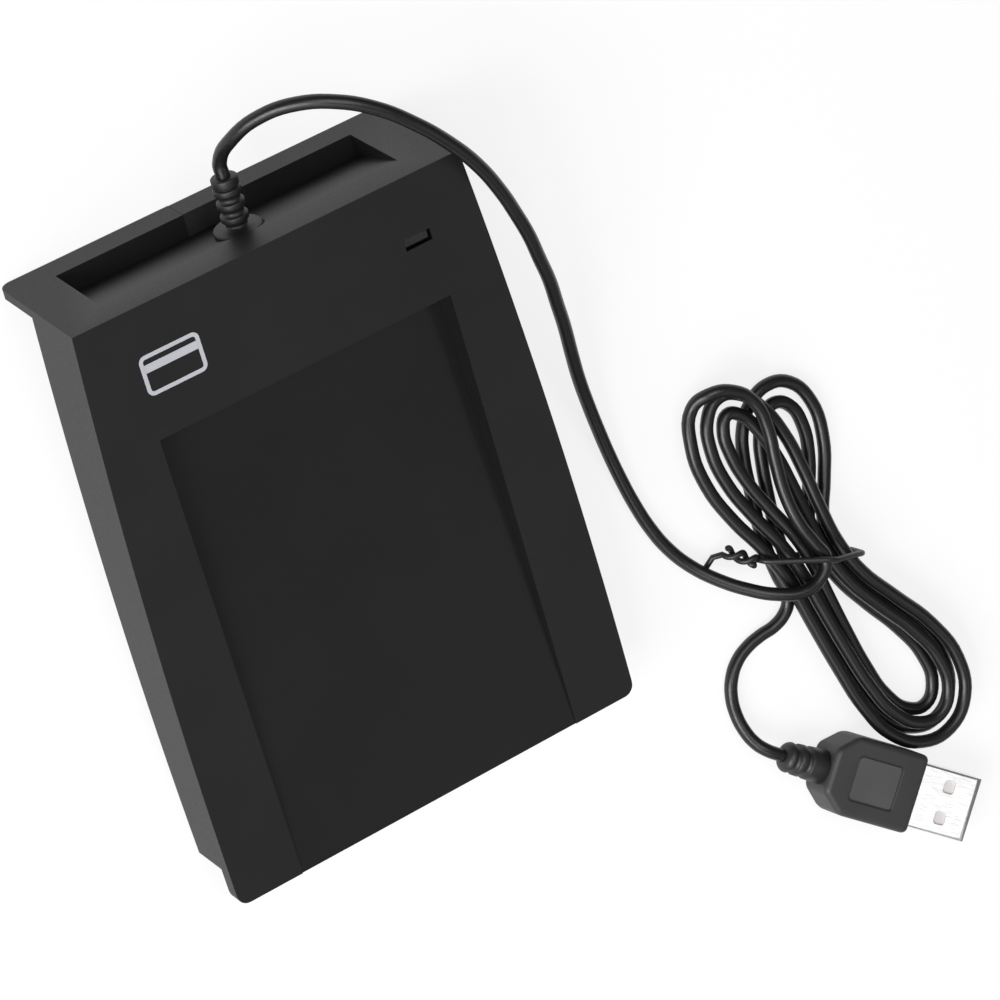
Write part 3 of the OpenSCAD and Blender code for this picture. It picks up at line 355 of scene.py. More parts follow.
@dataclass(frozen=True)
class Metal(Finish):
    """A plated or plain metal with hair lines along one direction.

    Attributes:
        colour: Its colour.
        rough: Roughness between the lines.
        turn: Angle of the lines, in degrees from X.
        lines: How much the lines roughen the surface.
        tarnish: How far smears darken it.
        relief: Strength of the lines' bump.
    """

    colour: tuple[float, float, float]
    rough: float = 0.22
    turn: float = 0.0
    lines: float = 0.12
    tarnish: float = 0.1
    relief: float = 0.25

    def fill(self, n: Nodes, skin: bpy.types.Node) -> None:
        """Adds the hair lines and the smears.

        Args:
            n: The material's nodes.
            skin: The material's Principled BSDF.
        """
        hair = n.add("Group", {"node_tree": Effects.scratches()}, Turn=math.radians(-self.turn))
        roughened = n.math("MULTIPLY", hair.outputs["Lines"], self.lines)
        n.feed(skin, Metallic=1.0, Roughness=n.math("ADD", self.rough, roughened),
               Base_Color=n.blend(hair.outputs["Smears"], shade(self.colour),
                                  shade(self.colour, 1.0 - self.tarnish)))
        n.bump(skin, hair.outputs["Lines"], strength=self.relief, depth=0.002)


@dataclass(frozen=True)
class Board(Finish):
    """Solder mask over laminate, with tracks under the mask.

    Attributes:
        mask: Colour of the solder mask.
        track: Colour over the copper tracks.
        rough: Its least roughness.
    """

    mask: tuple[float, float, float]
    track: tuple[float, float, float]
    rough: float = 0.25

    def fill(self, n: Nodes, skin: bpy.types.Node) -> None:
        """Adds the tracks.

        Args:
            n: The material's nodes.
            skin: The material's Principled BSDF.
        """
        place = n.add("TexCoord").outputs["Object"]
        cells = n.add("TexBrick", {"offset": 0.37, "squash": 1.6, "squash_frequency": 3}, Vector=place,
                      Scale=240.0, Mortar_Size=0.09, Mortar_Smooth=0.2)
        patches = n.add("TexNoise", Vector=place, Scale=90.0, Detail=1.0).outputs["Fac"]
        routed = n.math("MULTIPLY", cells.outputs["Fac"], n.ramp(patches, 0.42, 0.5))
        n.feed(skin, Base_Color=n.blend(routed, shade(self.mask), shade(self.track)),
               Roughness=n.math("ADD", self.rough, n.math("MULTIPLY", patches, 0.1)))
        n.bump(skin, routed, strength=0.4, depth=0.03)


@dataclass(frozen=True)
class Winding(Finish):
    """Many turns of enamelled wire side by side.

    Attributes:
        colour: Colour of the wire.
        gap: Colour between the turns, painted shade in the crevices.
        pitch: Distance between two turns.
        rough: Its least roughness.
    """

    colour: tuple[float, float, float]
    gap: tuple[float, float, float]
    pitch: float = 0.25
    rough: float = 0.28

    def fill(self, n: Nodes, skin: bpy.types.Node) -> None:
        """Adds the turns, with painted shade in the crevices between them.

        Args:
            n: The material's nodes.
            skin: The material's Principled BSDF.
        """
        place = n.add("TexCoord").outputs["Object"]
        rows = n.add("TexWave", {"bands_direction": "Z"}, Vector=place, Distortion=1.5, Detail=1.0,
                     Scale=0.5 / (self.pitch * MM)).outputs["Fac"]
        n.feed(skin, Metallic=0.6, Base_Color=n.blend(rows, shade(self.gap), shade(self.colour)),
               Roughness=n.math("ADD", self.rough, n.math("MULTIPLY", rows, 0.1)))
        n.bump(skin, rows, strength=0.8, depth=0.1)


@dataclass(frozen=True)
class Stage(Finish):
    """The pale floor: near white to the camera, and it keeps the object's soft shadow.

    Attributes:
        shadow: Share of the lit floor in what the camera sees; the rest is plain white.
    """

    name: str = "pale floor"
    shadow: float = 0.2

    def fill(self, n: Nodes, skin: bpy.types.Node) -> None:
        """Puts the floor's own shaders in place of the plain one.

        Args:
            n: The material's nodes.
            skin: The material's Principled BSDF.
        """
        n.tree.nodes.remove(skin)
        place = n.add("TexCoord").outputs["Object"]
        cloud = n.add("TexNoise", Vector=place, Scale=3.0, Detail=2.0).outputs["Fac"]
        lit = n.add("BsdfDiffuse", Color=n.blend(cloud, shade((0.86, 0.86, 0.86)), shade((0.9, 0.9, 0.9))))
        white = n.add("Emission", Color=WHITE, Strength=1.0)
        path = n.add("LightPath").outputs
        seen = n.math("MAXIMUM", path["Is Camera Ray"],
                      n.math("MAXIMUM", path["Is Glossy Ray"], path["Is Transmission Ray"]))
        mix = n.add("MixShader", i0=n.math("MULTIPLY", seen, 1.0 - self.shadow), i1=lit.outputs[0],
                    i2=white.outputs[0])
        n.feed(n.tree.nodes["Material Output"], Surface=mix.outputs[0])


class Finishes:
    """Every finish on the object."""

    COVER = Plastic("cover plastic", (0.0055, 0.0056, 0.006), rough=0.47, grain=0.28, depth=0.03,
                    sheen=0.38, dust=0.05)
    # Darker copy of the cover plastic for the tray floor: its darker colour is painted shade for the floor's
    # tilt, and its lower roughness is a smoother grain.
    TRAY_SHADE = Plastic("tray floor painted shade", (0.0045, 0.0046, 0.005), rough=0.4, grain=0.24, depth=0.025,
                   sheen=0.32, dust=0.04)
    BASE = Plastic("base plastic", (0.013, 0.013, 0.014), rough=0.55, grain=0.35, depth=0.03)
    WINDOW = Plastic("smoked window", (0.004, 0.004, 0.0045), rough=0.15, depth=0.003, sheen=0.25, dust=0.0)
    FEET = Plastic("foot rubber", (0.03, 0.03, 0.03), rough=0.85, grain=0.5, depth=0.05)
    GLAND = Plastic("gland rubber", (0.007, 0.007, 0.0075), rough=0.5, grain=0.35, depth=0.02)
    JACKET = Plastic("cord jacket", (0.0055, 0.0055, 0.006), rough=0.34, grain=0.6, depth=0.01, dust=0.03)
    TIE = Plastic("tie coating", (0.01, 0.01, 0.011), rough=0.4, grain=0.4, depth=0.015)
    GRIP = Plastic("plug plastic", (0.032, 0.031, 0.031), rough=0.5, grain=0.3, depth=0.025, dust=0.05)
    # Lighter copy of the grip plastic for the sunk panel: its lighter colour is painted sheen, and its
    # rougher grain is the panel's texture.
    PANEL_SHEEN = Plastic("sparked panel painted sheen", (0.062, 0.061, 0.061), rough=0.6, grain=0.22, depth=0.04, dust=0.04)
    # Darker copy of the grip plastic for the strain relief: its darker colour is painted shade.
    RELIEF_SHADE = Plastic("relief plastic painted shade", (0.016, 0.0155, 0.0155), rough=0.45, grain=0.3, depth=0.02, dust=0.03)
    PRINT = Plastic("pad print", (0.42, 0.42, 0.46), rough=0.55, grain=0.2, depth=0.004, patches=0.05,
                    dust=0.0)
    CHIP = Plastic("chip resin", (0.02, 0.02, 0.02), rough=0.6, grain=0.2)
    SOUNDER = Plastic("sounder plastic", (0.02, 0.02, 0.02), rough=0.5)
    CERAMIC = Plastic("passive ceramic", (0.42, 0.32, 0.2), rough=0.4, grain=0.15)
    SLEEVE = Plastic("capacitor sleeve", (0.02, 0.035, 0.12), rough=0.25, coat=0.3)
    LAMP = Plastic("lamp resin", (0.75, 0.74, 0.66), rough=0.2, coat=0.4)
    NYLON = Plastic("connector nylon", (0.72, 0.69, 0.6), rough=0.45)
    TONGUE = Plastic("tongue plastic", (0.62, 0.59, 0.59), rough=0.4, grain=0.2, depth=0.01, patches=0.04)
    SHELL = Metal("nickel shell", (0.88, 0.88, 0.88), rough=0.2, turn=-41.0, lines=0.06, tarnish=0.04,
                  relief=0.05)
    CONTACT = Metal("gold contacts", (0.83, 0.62, 0.24), rough=0.25, turn=-41.0)
    ZINC = Metal("zinc steel", (0.55, 0.56, 0.58), rough=0.35)
    LEADS = Metal("tinned leads", (0.7, 0.7, 0.7), rough=0.3)
    CAN = Metal("crystal can", (0.72, 0.72, 0.72), rough=0.28, turn=90.0)
    BOARD = Board("board laminate", (0.01, 0.09, 0.035), (0.03, 0.2, 0.07))
    # The coil's second colour is painted shade between the turns.
    COIL = Winding("coil winding", (0.55, 0.22, 0.08), (0.1, 0.03, 0.01))
    FLOOR = Stage()
    WIRES = tuple(Plastic(f"wire {name}", colour, rough=0.35, depth=0.005)
                  for name, colour in (("black", (0.02, 0.02, 0.02)), ("green", (0.02, 0.25, 0.06)),
                                       ("white", (0.7, 0.7, 0.7)), ("red", (0.4, 0.02, 0.02))))

    @staticmethod
    @cache
    def get(finish: Finish) -> bpy.types.Material:
        """Returns a finish's material, which is built the first time."""
        return finish.material()


# Mesh building


def new_object(name: str, data: bpy.types.ID) -> bpy.types.Object:
    """Makes an object that is linked to the scene.

    Args:
        name: The object's name.
        data: Its mesh, curve, lamp or camera.

    Returns:
        The object.
    """
    made = bpy.data.objects.new(name, data)
    bpy.context.scene.collection.objects.link(made)
    return made


def mesh_object(name: str, points: Iterable[Sequence[float]],
                faces: Iterable[Sequence[int]]) -> bpy.types.Object:
    """Builds a mesh object.

    Args:
        name: The object's name.
        points: Corners in millimetres.
        faces: Corner numbers of each face.

    Returns:
        The object, with its faces turned outwards.
    """
    mesh = bpy.data.meshes.new(name)
    mesh.from_pydata([tuple(c * MM for c in p) for p in points], [], [tuple(f) for f in faces])
    work = bmesh.new()
    work.from_mesh(mesh)
    bmesh.ops.recalc_face_normals(work, faces=work.faces)
    work.to_mesh(mesh)
    work.free()
    return new_object(name, mesh)


def prism(name: str, outline: Sequence[Point], along: Sequence[float]) -> bpy.types.Object:
    """Draws a closed outline out to a solid.

    Args:
        name: The object's name.
        outline: Its corners.
        along: The vector that it is drawn along.

    Returns:
        The object.
    """
    count = len(outline)
    far = [tuple(a + b for a, b in zip(p, along)) for p in outline]
    walls = [(i, (i + 1) % count, count + (i + 1) % count, count + i) for i in range(count)]
    ends = [tuple(range(count))[::-1], tuple(range(count, 2 * count))]
    return mesh_object(name, [*outline, *far], [*ends, *walls])


def slab(name: str, outline: Sequence[Pair], width: float) -> bpy.types.Object:
    """Returns a side view outline of [y, z] points drawn out over a width, about the middle on X."""
    return prism(name, [(-width / 2, p[0], p[1]) for p in outline], (width, 0.0, 0.0))


def lathe(name: str, profile: Sequence[Pair], place: Matrix, steps: int = 64) -> bpy.types.Object:
    """Turns a profile about Z.

    Args:
        name: The object's name.
        profile: Points as [radius, height], from one end on the axis to the other.
        place: Where the turned solid's own frame lies, in millimetres.
        steps: Sides of the circle.

    Returns:
        The object.
    """
    points: list[Sequence[float]] = []
    rings: list[list[int]] = []
    for radius, height in profile:
        ring = 1 if radius < TINY else steps
        rings.append(list(range(len(points), len(points) + ring)))
        for k in range(ring):
            angle = 2 * math.pi * k / steps
            points.append(tuple(place @ Vector((radius * math.cos(angle), radius * math.sin(angle), height))))
    faces: list[tuple[int, ...]] = []
    for low, high in zip(rings, rings[1:]):
        for k in range(steps):
            pairs = [(ring[k % len(ring)], ring[(k + 1) % len(ring)]) for ring in (low, high)]
            face = tuple(dict.fromkeys([*pairs[0], *pairs[1][::-1]]))
            if len(face) > 2:
                faces.append(face)
    return mesh_object(name, points, faces)


def combine(target: bpy.types.Object, tools: Iterable[tuple[Cut, bpy.types.Object]]) -> bpy.types.Object:
    """Works a row of solids into one and removes them.

    Args:
        target: The solid that is worked on.
        tools: How each other solid acts on it, in order.

    Returns:
        The target, with its new mesh.
    """
    for mode, tool in tools:
        step = target.modifiers.new("work", "BOOLEAN")
        step.operation, step.solver, step.object = mode.value, "EXACT", tool
        bake(target)
        bpy.data.objects.remove(tool)
    return target


def bake(target: bpy.types.Object) -> None:
    """Makes an object's modifiers part of its mesh.

    Args:
        target: The object.
    """
    graph = bpy.context.evaluated_depsgraph_get()
    graph.update()
    mesh = bpy.data.meshes.new_from_object(target.evaluated_get(graph))
    target.modifiers.clear()
    target.data = mesh


def clean(target: bpy.types.Object, weld: float = 0.002, bend: float = 0.15) -> None:
    """Joins points that lie on each other and melts the edges between faces of one plane.

    Args:
        target: The solid.
        weld: Distance in millimetres up to which points are joined.
        bend: Bend in degrees up to which faces count as one plane.
    """
    work = bmesh.new()
    work.from_mesh(target.data)
    bmesh.ops.remove_doubles(work, verts=work.verts, dist=weld * MM)
    bmesh.ops.dissolve_limit(work, angle_limit=math.radians(bend), verts=work.verts, edges=work.edges)
    bmesh.ops.recalc_face_normals(work, faces=work.faces)
    work.to_mesh(target.data)
    work.free()


def round_edges(target: bpy.types.Object, width: Callable[[Vector], float], steps: int = 3,
                least_angle: float = 20.0) -> None:
    """Rounds the sharp edges of a solid.

    Args:
        target: The solid.
        width: Gives the rounding for an edge from its middle, both in millimetres, and 0 for none.
        steps: Faces over one rounding.
        least_angle: Bend in degrees from which an edge is sharp.
    """
    mesh = target.data
    work = bmesh.new()
    work.from_mesh(mesh)
    layer = work.edges.layers.float.new("bevel_weight_edge")
    least = math.radians(least_angle)
    sharp = [e for e in work.edges if len(e.link_faces) == 2 and e.calc_face_angle(0.0) > least]
    widths = {e.index: width((e.verts[0].co + e.verts[1].co) / (2 * MM)) for e in sharp}
    widest = max([*widths.values(), TINY])
    for edge in sharp:
        edge[layer] = widths[edge.index] / widest
    work.to_mesh(mesh)
    work.free()
    step = target.modifiers.new("rounding", "BEVEL")
    step.width, step.segments, step.limit_method = widest * MM, steps, "WEIGHT"
    step.use_clamp_overlap, step.miter_outer = True, "MITER_ARC"
    step.loop_slide = True
    bake(target)
    smooth(target)


def smooth(target: bpy.types.Object) -> None:
    """Shades an object smoothly, with the wide faces kept flat.

    Args:
        target: The object.
    """
    for face in target.data.polygons:
        face.use_smooth = True
    step = target.modifiers.new("shading", "WEIGHTED_NORMAL")
    step.mode, step.weight, step.keep_sharp = "FACE_AREA", 80, False
    bake(target)


def sweep(name: str, route: Sequence[Sequence[float]], diameter: float, sides: int = 12) -> bpy.types.Object:
    """Lays a round tube along a route.

    Args:
        name: The object's name.
        route: The places that its middle passes.
        diameter: Its diameter.
        sides: Faces round the tube.

    Returns:
        The object, with closed ends.
    """
    places = np.array(route, float)
    ahead = np.gradient(places, axis=0)
    ahead /= np.linalg.norm(ahead, axis=1)[:, None]
    side = np.cross(ahead[0], (0.0, 0.0, 1.0))
    points: list[tuple[float, ...]] = []
    for place, direction in zip(places, ahead):
        side = side - direction * side.dot(direction)
        side /= np.linalg.norm(side)
        up = np.cross(side, direction)
        for k in range(sides):
            angle = 2 * math.pi * k / sides
            points.append(tuple(place + (side * math.cos(angle) + up * math.sin(angle)) * diameter / 2))
    faces = [tuple(range(sides))[::-1], tuple(range(len(points) - sides, len(points)))]
    for i in range(len(places) - 1):
        for k in range(sides):
            a, b = i * sides + k, i * sides + (k + 1) % sides
            faces.append((a, b, b + sides, a + sides))
    made = mesh_object(name, points, faces)
    for face in made.data.polygons:
        face.use_smooth = len(face.vertices) == 4
    return made


def finer(route: Sequence[Sequence[float]], parts: int = 8) -> list[tuple[float, ...]]:
    """Puts more places on a smooth curve through the places of a route.

    Args:
        route: The given places.
        parts: Stretches from one given place to the next.

    Returns:
        The finer route.
    """
    p = np.array(route, float)
    padded = np.vstack([2 * p[0] - p[1], p, 2 * p[-1] - p[-2]])
    out: list[tuple[float, ...]] = []
    for i in range(1, len(padded) - 2):
        a, b, c, d = padded[i - 1:i + 3]
        for k in range(parts):
            t = k / parts
            out.append(tuple(0.5 * (2 * b + (c - a) * t + (2 * a - 5 * b + 4 * c - d) * t * t
                                    + (3 * b - a - 3 * c + d) * t ** 3)))
    out.append(tuple(p[-1]))
    return out


def dress(piece: bpy.types.Object, *finishes: Finish) -> None:
    """Gives a piece its finishes.

    Args:
        piece: The piece.
        finishes: One finish for each of its slots.
    """
    piece.data.materials.clear()
    for finish in finishes:
        piece.data.materials.append(Finishes.get(finish))


def dress_node(node: str, finish: Finish) -> None:
    """Gives a solid of the frame a finish and leaves its shape alone.

    Args:
        node: The solid's node.
        finish: Its finish.
    """
    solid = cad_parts[node]
    if not solid.material_slots:
        solid.data.materials.append(None)
    for holder in solid.material_slots:
        holder.link = "OBJECT"
        holder.material = Finishes.get(finish)


def stand_for(piece: bpy.types.Object, slot: str, *nodes: str) -> None:
    """Says what a piece is in the assembly, and that it rides on the body.

    Args:
        piece: The piece.
        slot: Its material slot.
        nodes: The solids that it replaces.
    """
    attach(piece, BODY)
    if nodes:
        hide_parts(*nodes)
    LOG.info("%s: %s, for %s", piece.name, slot, ", ".join(nodes) or "no node")


# Housing


@dataclass(frozen=True)
class HousingLines:
    """The housing's side view as lines, in [y, z], and its plan width.

    Attributes:
        front_width: Greatest width, near the front.
        rear_width: Width at the ridge.
        top_length: Length of the top face from its front end to the ridge.
        widest: Place of the greatest width along the top face.
        top_tilt: Slope of the top face, in degrees.
        lip_height: Height of the top face's front end above the desk.
        rear_lean: Lean of the rear face from upright, in degrees.
        base_tilt: Slope of the underside, in degrees.
        base_clearance: Height of the underside's front end above the desk.
        lip_overhang: How far the front lip stands out over the front wall.
        lip_thick: Thickness of the lip.
        gland_drop: Place of the gland's axis down the rear face from the ridge.
    """

    front_width: float = 79.8
    rear_width: float = 72.2
    top_length: float = 105.6
    widest: float = 12.0
    top_tilt: float = 8.5
    lip_height: float = 10.6
    rear_lean: float = 12.1
    base_tilt: float = 6.3
    base_clearance: float = 0.5
    lip_overhang: float = 6.4
    lip_thick: float = 3.0
    gland_drop: float = 10.6

    @property
    def top_dir(self) -> np.ndarray:
        """Direction back along the top face."""
        return np.array(aim(self.top_tilt))

    @property
    def top_down(self) -> np.ndarray:
        """Direction down from the top face, square to it."""
        return below(self.top_tilt)

    @property
    def rear_down(self) -> np.ndarray:
        """Direction down the rear face."""
        return below(self.rear_lean)

    @property
    def rear_in(self) -> np.ndarray:
        """Direction into the housing, square to the rear face."""
        return -np.array(aim(self.rear_lean))

    @property
    def base_dir(self) -> np.ndarray:
        """Direction back along the underside."""
        return np.array(aim(self.base_tilt))

    @property
    def base_up(self) -> np.ndarray:
        """Direction up from the underside, square to it."""
        return -below(self.base_tilt)

    @property
    def ridge_height(self) -> float:
        """Height of the ridge above the desk."""
        return self.lip_height + self.top_length * aim(self.top_tilt)[1]

    @property
    def front_edge(self) -> np.ndarray:
        """Front end of the top face.

        Returns:
            Its place in the side outline.
        """
        reach = self.top_length * aim(self.top_tilt)[0]
        lean = self.ridge_height * math.tan(math.radians(self.rear_lean))
        return np.array((-(reach + lean) / 2, self.lip_height))

    @property
    def ridge(self) -> np.ndarray:
        """Rear end of the top face."""
        return self.top(self.top_length)

    @property
    def base_front(self) -> np.ndarray:
        """Front end of the underside, under the lip's root."""
        p = self.top(self.lip_overhang)
        return p + self.top_down * (p[1] - self.base_clearance) / aim(self.top_tilt)[0]

    def top(self, v: float, d: float = 0.0) -> np.ndarray:
        """Returns the point v back along the top face and d down from it."""
        return self.front_edge + self.top_dir * v + self.top_down * d

    def rear(self, s: float, t: float = 0.0) -> np.ndarray:
        """Returns the point s down the rear face from the ridge and t into the housing."""
        return self.ridge + self.rear_down * s + self.rear_in * t

    def base(self, b: float, h: float = 0.0) -> np.ndarray:
        """Returns the point b back along the underside and h above it."""
        return self.base_front + self.base_dir * b + self.base_up * h

    @staticmethod
    def meet(p: Sequence[float], a: Sequence[float], q: Sequence[float], b: Sequence[float]) -> np.ndarray:
        """Finds where two lines meet.

        Args:
            p: A point of the first line.
            a: Its direction.
            q: A point of the second line.
            b: Its direction.

        Returns:
            The point of both lines.
        """
        p, a, q, b = (np.array(x, float) for x in (p, a, q, b))
        gap = q - p
        return p + a * (gap[0] * b[1] - gap[1] * b[0]) / (a[0] * b[1] - a[1] * b[0])

    def on_desk(self, p: Sequence[float], along: Sequence[float]) -> np.ndarray:
        """Returns where the line through p along a direction meets the desk."""
        return self.meet(p, along, (0, 0), (1, 0))

    def half_width(self, v: float) -> float:
        """Returns half the housing's width at v, whose sides are arcs of one radius."""
        radius = (self.top_length - self.widest) ** 2 / (self.front_width - self.rear_width)
        return self.front_width / 2 - radius + math.sqrt(radius ** 2 - (v - self.widest) ** 2)

    def run(self, p: Sequence[float]) -> float:
        """Returns a side view point's v."""
        return float((np.array(p) - self.front_edge) @ self.top_dir)

    def down(self, p: Sequence[float]) -> float:
        """Returns how far a side view point lies below the top face."""
        return float((np.array(p) - self.front_edge) @ self.top_down)

    def deep(self, p: Sequence[float]) -> float:
        """Returns how far a side view point lies behind the rear face."""
        return float((np.array(p) - self.ridge) @ self.rear_in)

    def drop(self, p: Sequence[float]) -> float:
        """Returns how far a side view point lies down the rear face from the ridge."""
        return float((np.array(p) - self.ridge) @ self.rear_down)

    def on_top(self, x: float, v: float, height: float = 0.0) -> Point:
        """Returns the place x to the side and v along the top face, a height above it."""
        p = self.top(v, -height)
        return (x, float(p[0]), float(p[1]))

    def rise(self, low: float, high: float) -> Point:
        """Returns the vector from one height over the top face to another, square to it."""
        return tuple(np.array(self.on_top(0.0, 0.0, high)) - np.array(self.on_top(0.0, 0.0, low)))

    def on_rear(self, s: float) -> Matrix:
        """Returns the frame s down the rear face, with Z out of it, in millimetres."""
        turn = Matrix.Rotation(math.radians(self.rear_lean - 90.0), 4, "X")
        return Matrix.Translation((0.0, *map(float, self.rear(s)))) @ turn


LINES = HousingLines()


@dataclass
class TopCover:
    """The upper half of the housing, with the card tray, the rear trough and the status window.

    Attributes:
        wall: Thickness of the side, front and rear walls.
        plate: Thickness of the top plate.
        foot: Thickness of the rear wall's foot on the desk.
        corner: Radius of the corners of the outline.
        plan_ends: Places along the top face from which to which the bowed sides run.
        arc_steps: Stretches of each bowed side.
        foot_cut: From where to how deep into the housing the rear face's lower corners are cut.
        tray_width: Width of the tray.
        tray_length: Place of the tray's rear wall along the top face.
        tray_draft: How far that wall leans in over its height.
        tray_depth: Depth of the tray at its rear.
        tray_front: Depth of the tray at its front.
        tray_floor: Thickness of the tray's floor.
        tray_wall: Thickness of the tray's walls.
        trough_width: Width of the trough.
        trough_top: Place of its upper rim down the rear face.
        trough_bottom: Place of its lower rim.
        trough_depth: Its depth at the lower rim.
        trough_wall: Thickness of its walls.
        tab_width: Width of the base's tab.
        tab_close: How much narrower the gap for the tab is drawn than the tab.
        seat_diameter: Diameter of the gland's seat.
        seat_depth: Depth of the seat.
        seat_ring: Thickness of the round wall about the seat.
        seat_front: Distance from the seat's floor to the start of that wall.
        seat_back: How far that wall is thicker than the trough's.
        neck_hole: Diameter of the hole for the gland's neck.
        room_inset: How much smaller in radius than the seat the room behind it is.
        room_depth: Depth of that room.
        window_x: Place of the status window to the side.
        window_v: Place of the window along the top face.
        window_size: Its width and length.
        window_deep: Depth from which the window is cut.
        window_cut: Height of the cut.
        edge: Rounding of the outer edges.
        inner_edge: Rounding of the tray's edges.
        foot_band: Height above the desk up to which an edge is one of the foot's.
        foot_edge: Rounding of the foot's edges.
        trough_edge: Rounding of the trough's edges.
        window_edge: Rounding of the window's rim.
        window_zone: Half the width and length about the window in which an edge is the window's.
        gland_zone: Radius about the gland's axis in which an edge stays sharp.
        gland_skin: Depth behind the rear face from which that holds.
        side_band: Distance from the bowed side up to which an edge is an outer one.
    """

    wall: float = 2.0
    plate: float = 2.0
    foot: float = 1.5
    corner: float = 2.0
    plan_ends: Pair = (-14.0, 132.0)
    arc_steps: int = 24
    foot_cut: Pair = (-2.0, 8.0)
    tray_width: float = 55.3
    tray_length: float = 83.1
    tray_draft: float = 0.4
    tray_depth: float = 4.8
    tray_front: float = 0.2
    tray_floor: float = 1.8
    tray_wall: float = 1.8
    trough_width: float = 56.0
    trough_top: float = 6.0
    trough_bottom: float = 21.5
    trough_depth: float = 4.1
    trough_wall: float = 1.6
    tab_width: float = 8.6
    tab_close: float = 0.2
    seat_diameter: float = 9.0
    seat_depth: float = 1.6
    seat_ring: float = 0.8
    seat_front: float = 0.2
    seat_back: float = 0.6
    neck_hole: float = 4.5
    room_inset: float = 0.8
    room_depth: float = 4.1
    window_x: float = 24.9
    window_v: float = 94.5
    window_size: Pair = (5.0, 2.0)
    window_deep: float = 3.2
    window_cut: float = 4.5
    edge: float = 0.45
    inner_edge: float = 0.25
    foot_band: float = 0.4
    foot_edge: float = 0.3
    trough_edge: float = 0.15
    window_edge: float = 0.12
    window_zone: Pair = (4.0, 3.0)
    gland_zone: float = 6.0
    gland_skin: float = 0.02
    side_band: float = 0.3

    def _planform(self, inset: float) -> bpy.types.Object:
        """Builds the space between the two bowed sides.

        Args:
            inset: How far both sides are moved in.

        Returns:
            The space as a solid.
        """
        stations = np.linspace(*self.plan_ends, self.arc_steps + 1)
        right = [(LINES.half_width(v) - inset, v) for v in stations]
        loop = [*right, *[(-x, v) for x, v in reversed(right)]]
        return prism("planform", [LINES.on_top(x, v, -FAR) for x, v in loop], LINES.rise(-FAR, FAR))

    def _outside(self) -> bpy.types.Object:
        """Draws the outer body over the full width.

        Returns:
            The body.
        """
        lip = LINES.top(0, LINES.lip_thick)
        inner_foot = LINES.rear(0, self.foot)
        return slab("top_cover_piece", [
            LINES.front_edge, LINES.ridge, LINES.on_desk(LINES.ridge, LINES.rear_down),
            LINES.on_desk(inner_foot, LINES.rear_down),
            LINES.meet(inner_foot, LINES.rear_down, LINES.base_front, LINES.base_dir), LINES.base_front,
            LINES.meet(lip, LINES.top_dir, LINES.base_front, LINES.top_down), lip],
            LINES.front_width + 4 * PAST)

    def _inside(self) -> bpy.types.Object:
        """Draws the hollow under the top plate.

        Returns:
            The hollow.
        """
        front = LINES.top(LINES.lip_overhang + self.wall, self.plate)
        rear = LINES.meet(front, LINES.top_dir, LINES.rear(0, self.wall), LINES.rear_down)
        deep = LINES.ridge_height
        outline = [front, rear, rear + LINES.rear_down * deep, front + LINES.top_down * deep]
        body = slab("hollow", outline, LINES.front_width)
        return combine(body, [(Cut.KEEP, self._planform(self.wall))])

    def _tray_block(self) -> bpy.types.Object:
        """Draws the block that carries the tray's floor and walls.

        Returns:
            The block.
        """
        back = self.tray_length + self.tray_wall
        outline = [LINES.top(0), LINES.top(back), LINES.top(back, self.tray_depth + self.tray_floor),
                   LINES.top(0, self.tray_front + self.tray_floor)]
        return slab("tray block", outline, self.tray_width + 2 * self.tray_wall)

    def _tray(self) -> bpy.types.Object:
        """Returns the space of the tray."""
        outline = [LINES.top(-PAST, -PAST), LINES.top(self.tray_length, -PAST),
                   LINES.top(self.tray_length, 0),
                   LINES.top(self.tray_length - self.tray_draft, self.tray_depth),
                   LINES.top(0, self.tray_front), LINES.top(-PAST, self.tray_front)]
        return slab("tray", outline, self.tray_width)

    def _trough_block(self) -> bpy.types.Object:
        """Draws the block behind the trough in the rear face.

        Returns:
            The block.
        """
        high, low = self.trough_top - self.trough_wall, self.trough_bottom + self.trough_wall
        outline = [LINES.rear(high), LINES.rear(high, self.wall),
                   LINES.rear(low, self.trough_depth + self.trough_wall), LINES.rear(low)]
        return slab("trough block", outline, self.trough_width + 2 * self.trough_wall)

    def _trough(self) -> bpy.types.Object:
        """Returns the space of the trough."""
        outline = [LINES.rear(self.trough_top, -PAST), LINES.rear(self.trough_top),
                   LINES.rear(self.trough_bottom, self.trough_depth), LINES.rear(self.trough_bottom, -PAST)]
        return slab("trough", outline, self.trough_width)

    def _tab(self) -> bpy.types.Object:
        """Draws the gap in the rim that the base's tab fills.

        Returns:
            The gap's space.
        """
        deep = self.trough_depth + 2 * self.trough_wall
        outline = [LINES.rear(self.trough_bottom, -PAST), LINES.rear(self.trough_bottom, deep),
                   LINES.rear(FAR, deep), LINES.rear(FAR, -PAST)]
        return slab("tab gap", outline, self.tab_width - self.tab_close)

    def _seat_wall(self) -> bpy.types.Object:
        """Turns the round wall that carries the gland's seat.

        Returns:
            The wall.
        """
        radius = self.seat_diameter / 2 + self.seat_ring
        low, high = -self.seat_depth - self.trough_wall - self.seat_back, -self.seat_depth - self.seat_front
        profile = [(0, low), (radius, low), (radius, high), (0, high)]
        return lathe("seat wall", profile, LINES.on_rear(LINES.gland_drop))

    def _gland_room(self) -> bpy.types.Object:
        """Turns the gland's seat, its neck's hole and the room behind.

        Returns:
            All three as one space.
        """
        seat, neck = self.seat_diameter / 2, self.neck_hole / 2
        room = seat - self.room_inset
        outer, inner = -self.seat_depth, -self.seat_depth - self.trough_wall
        end = inner - self.room_depth
        profile = [(0, end), (room, end), (room, inner), (neck, inner), (neck, outer), (seat, outer),
                   (seat, PAST), (0, PAST)]
        return lathe("gland room", profile, LINES.on_rear(LINES.gland_drop))

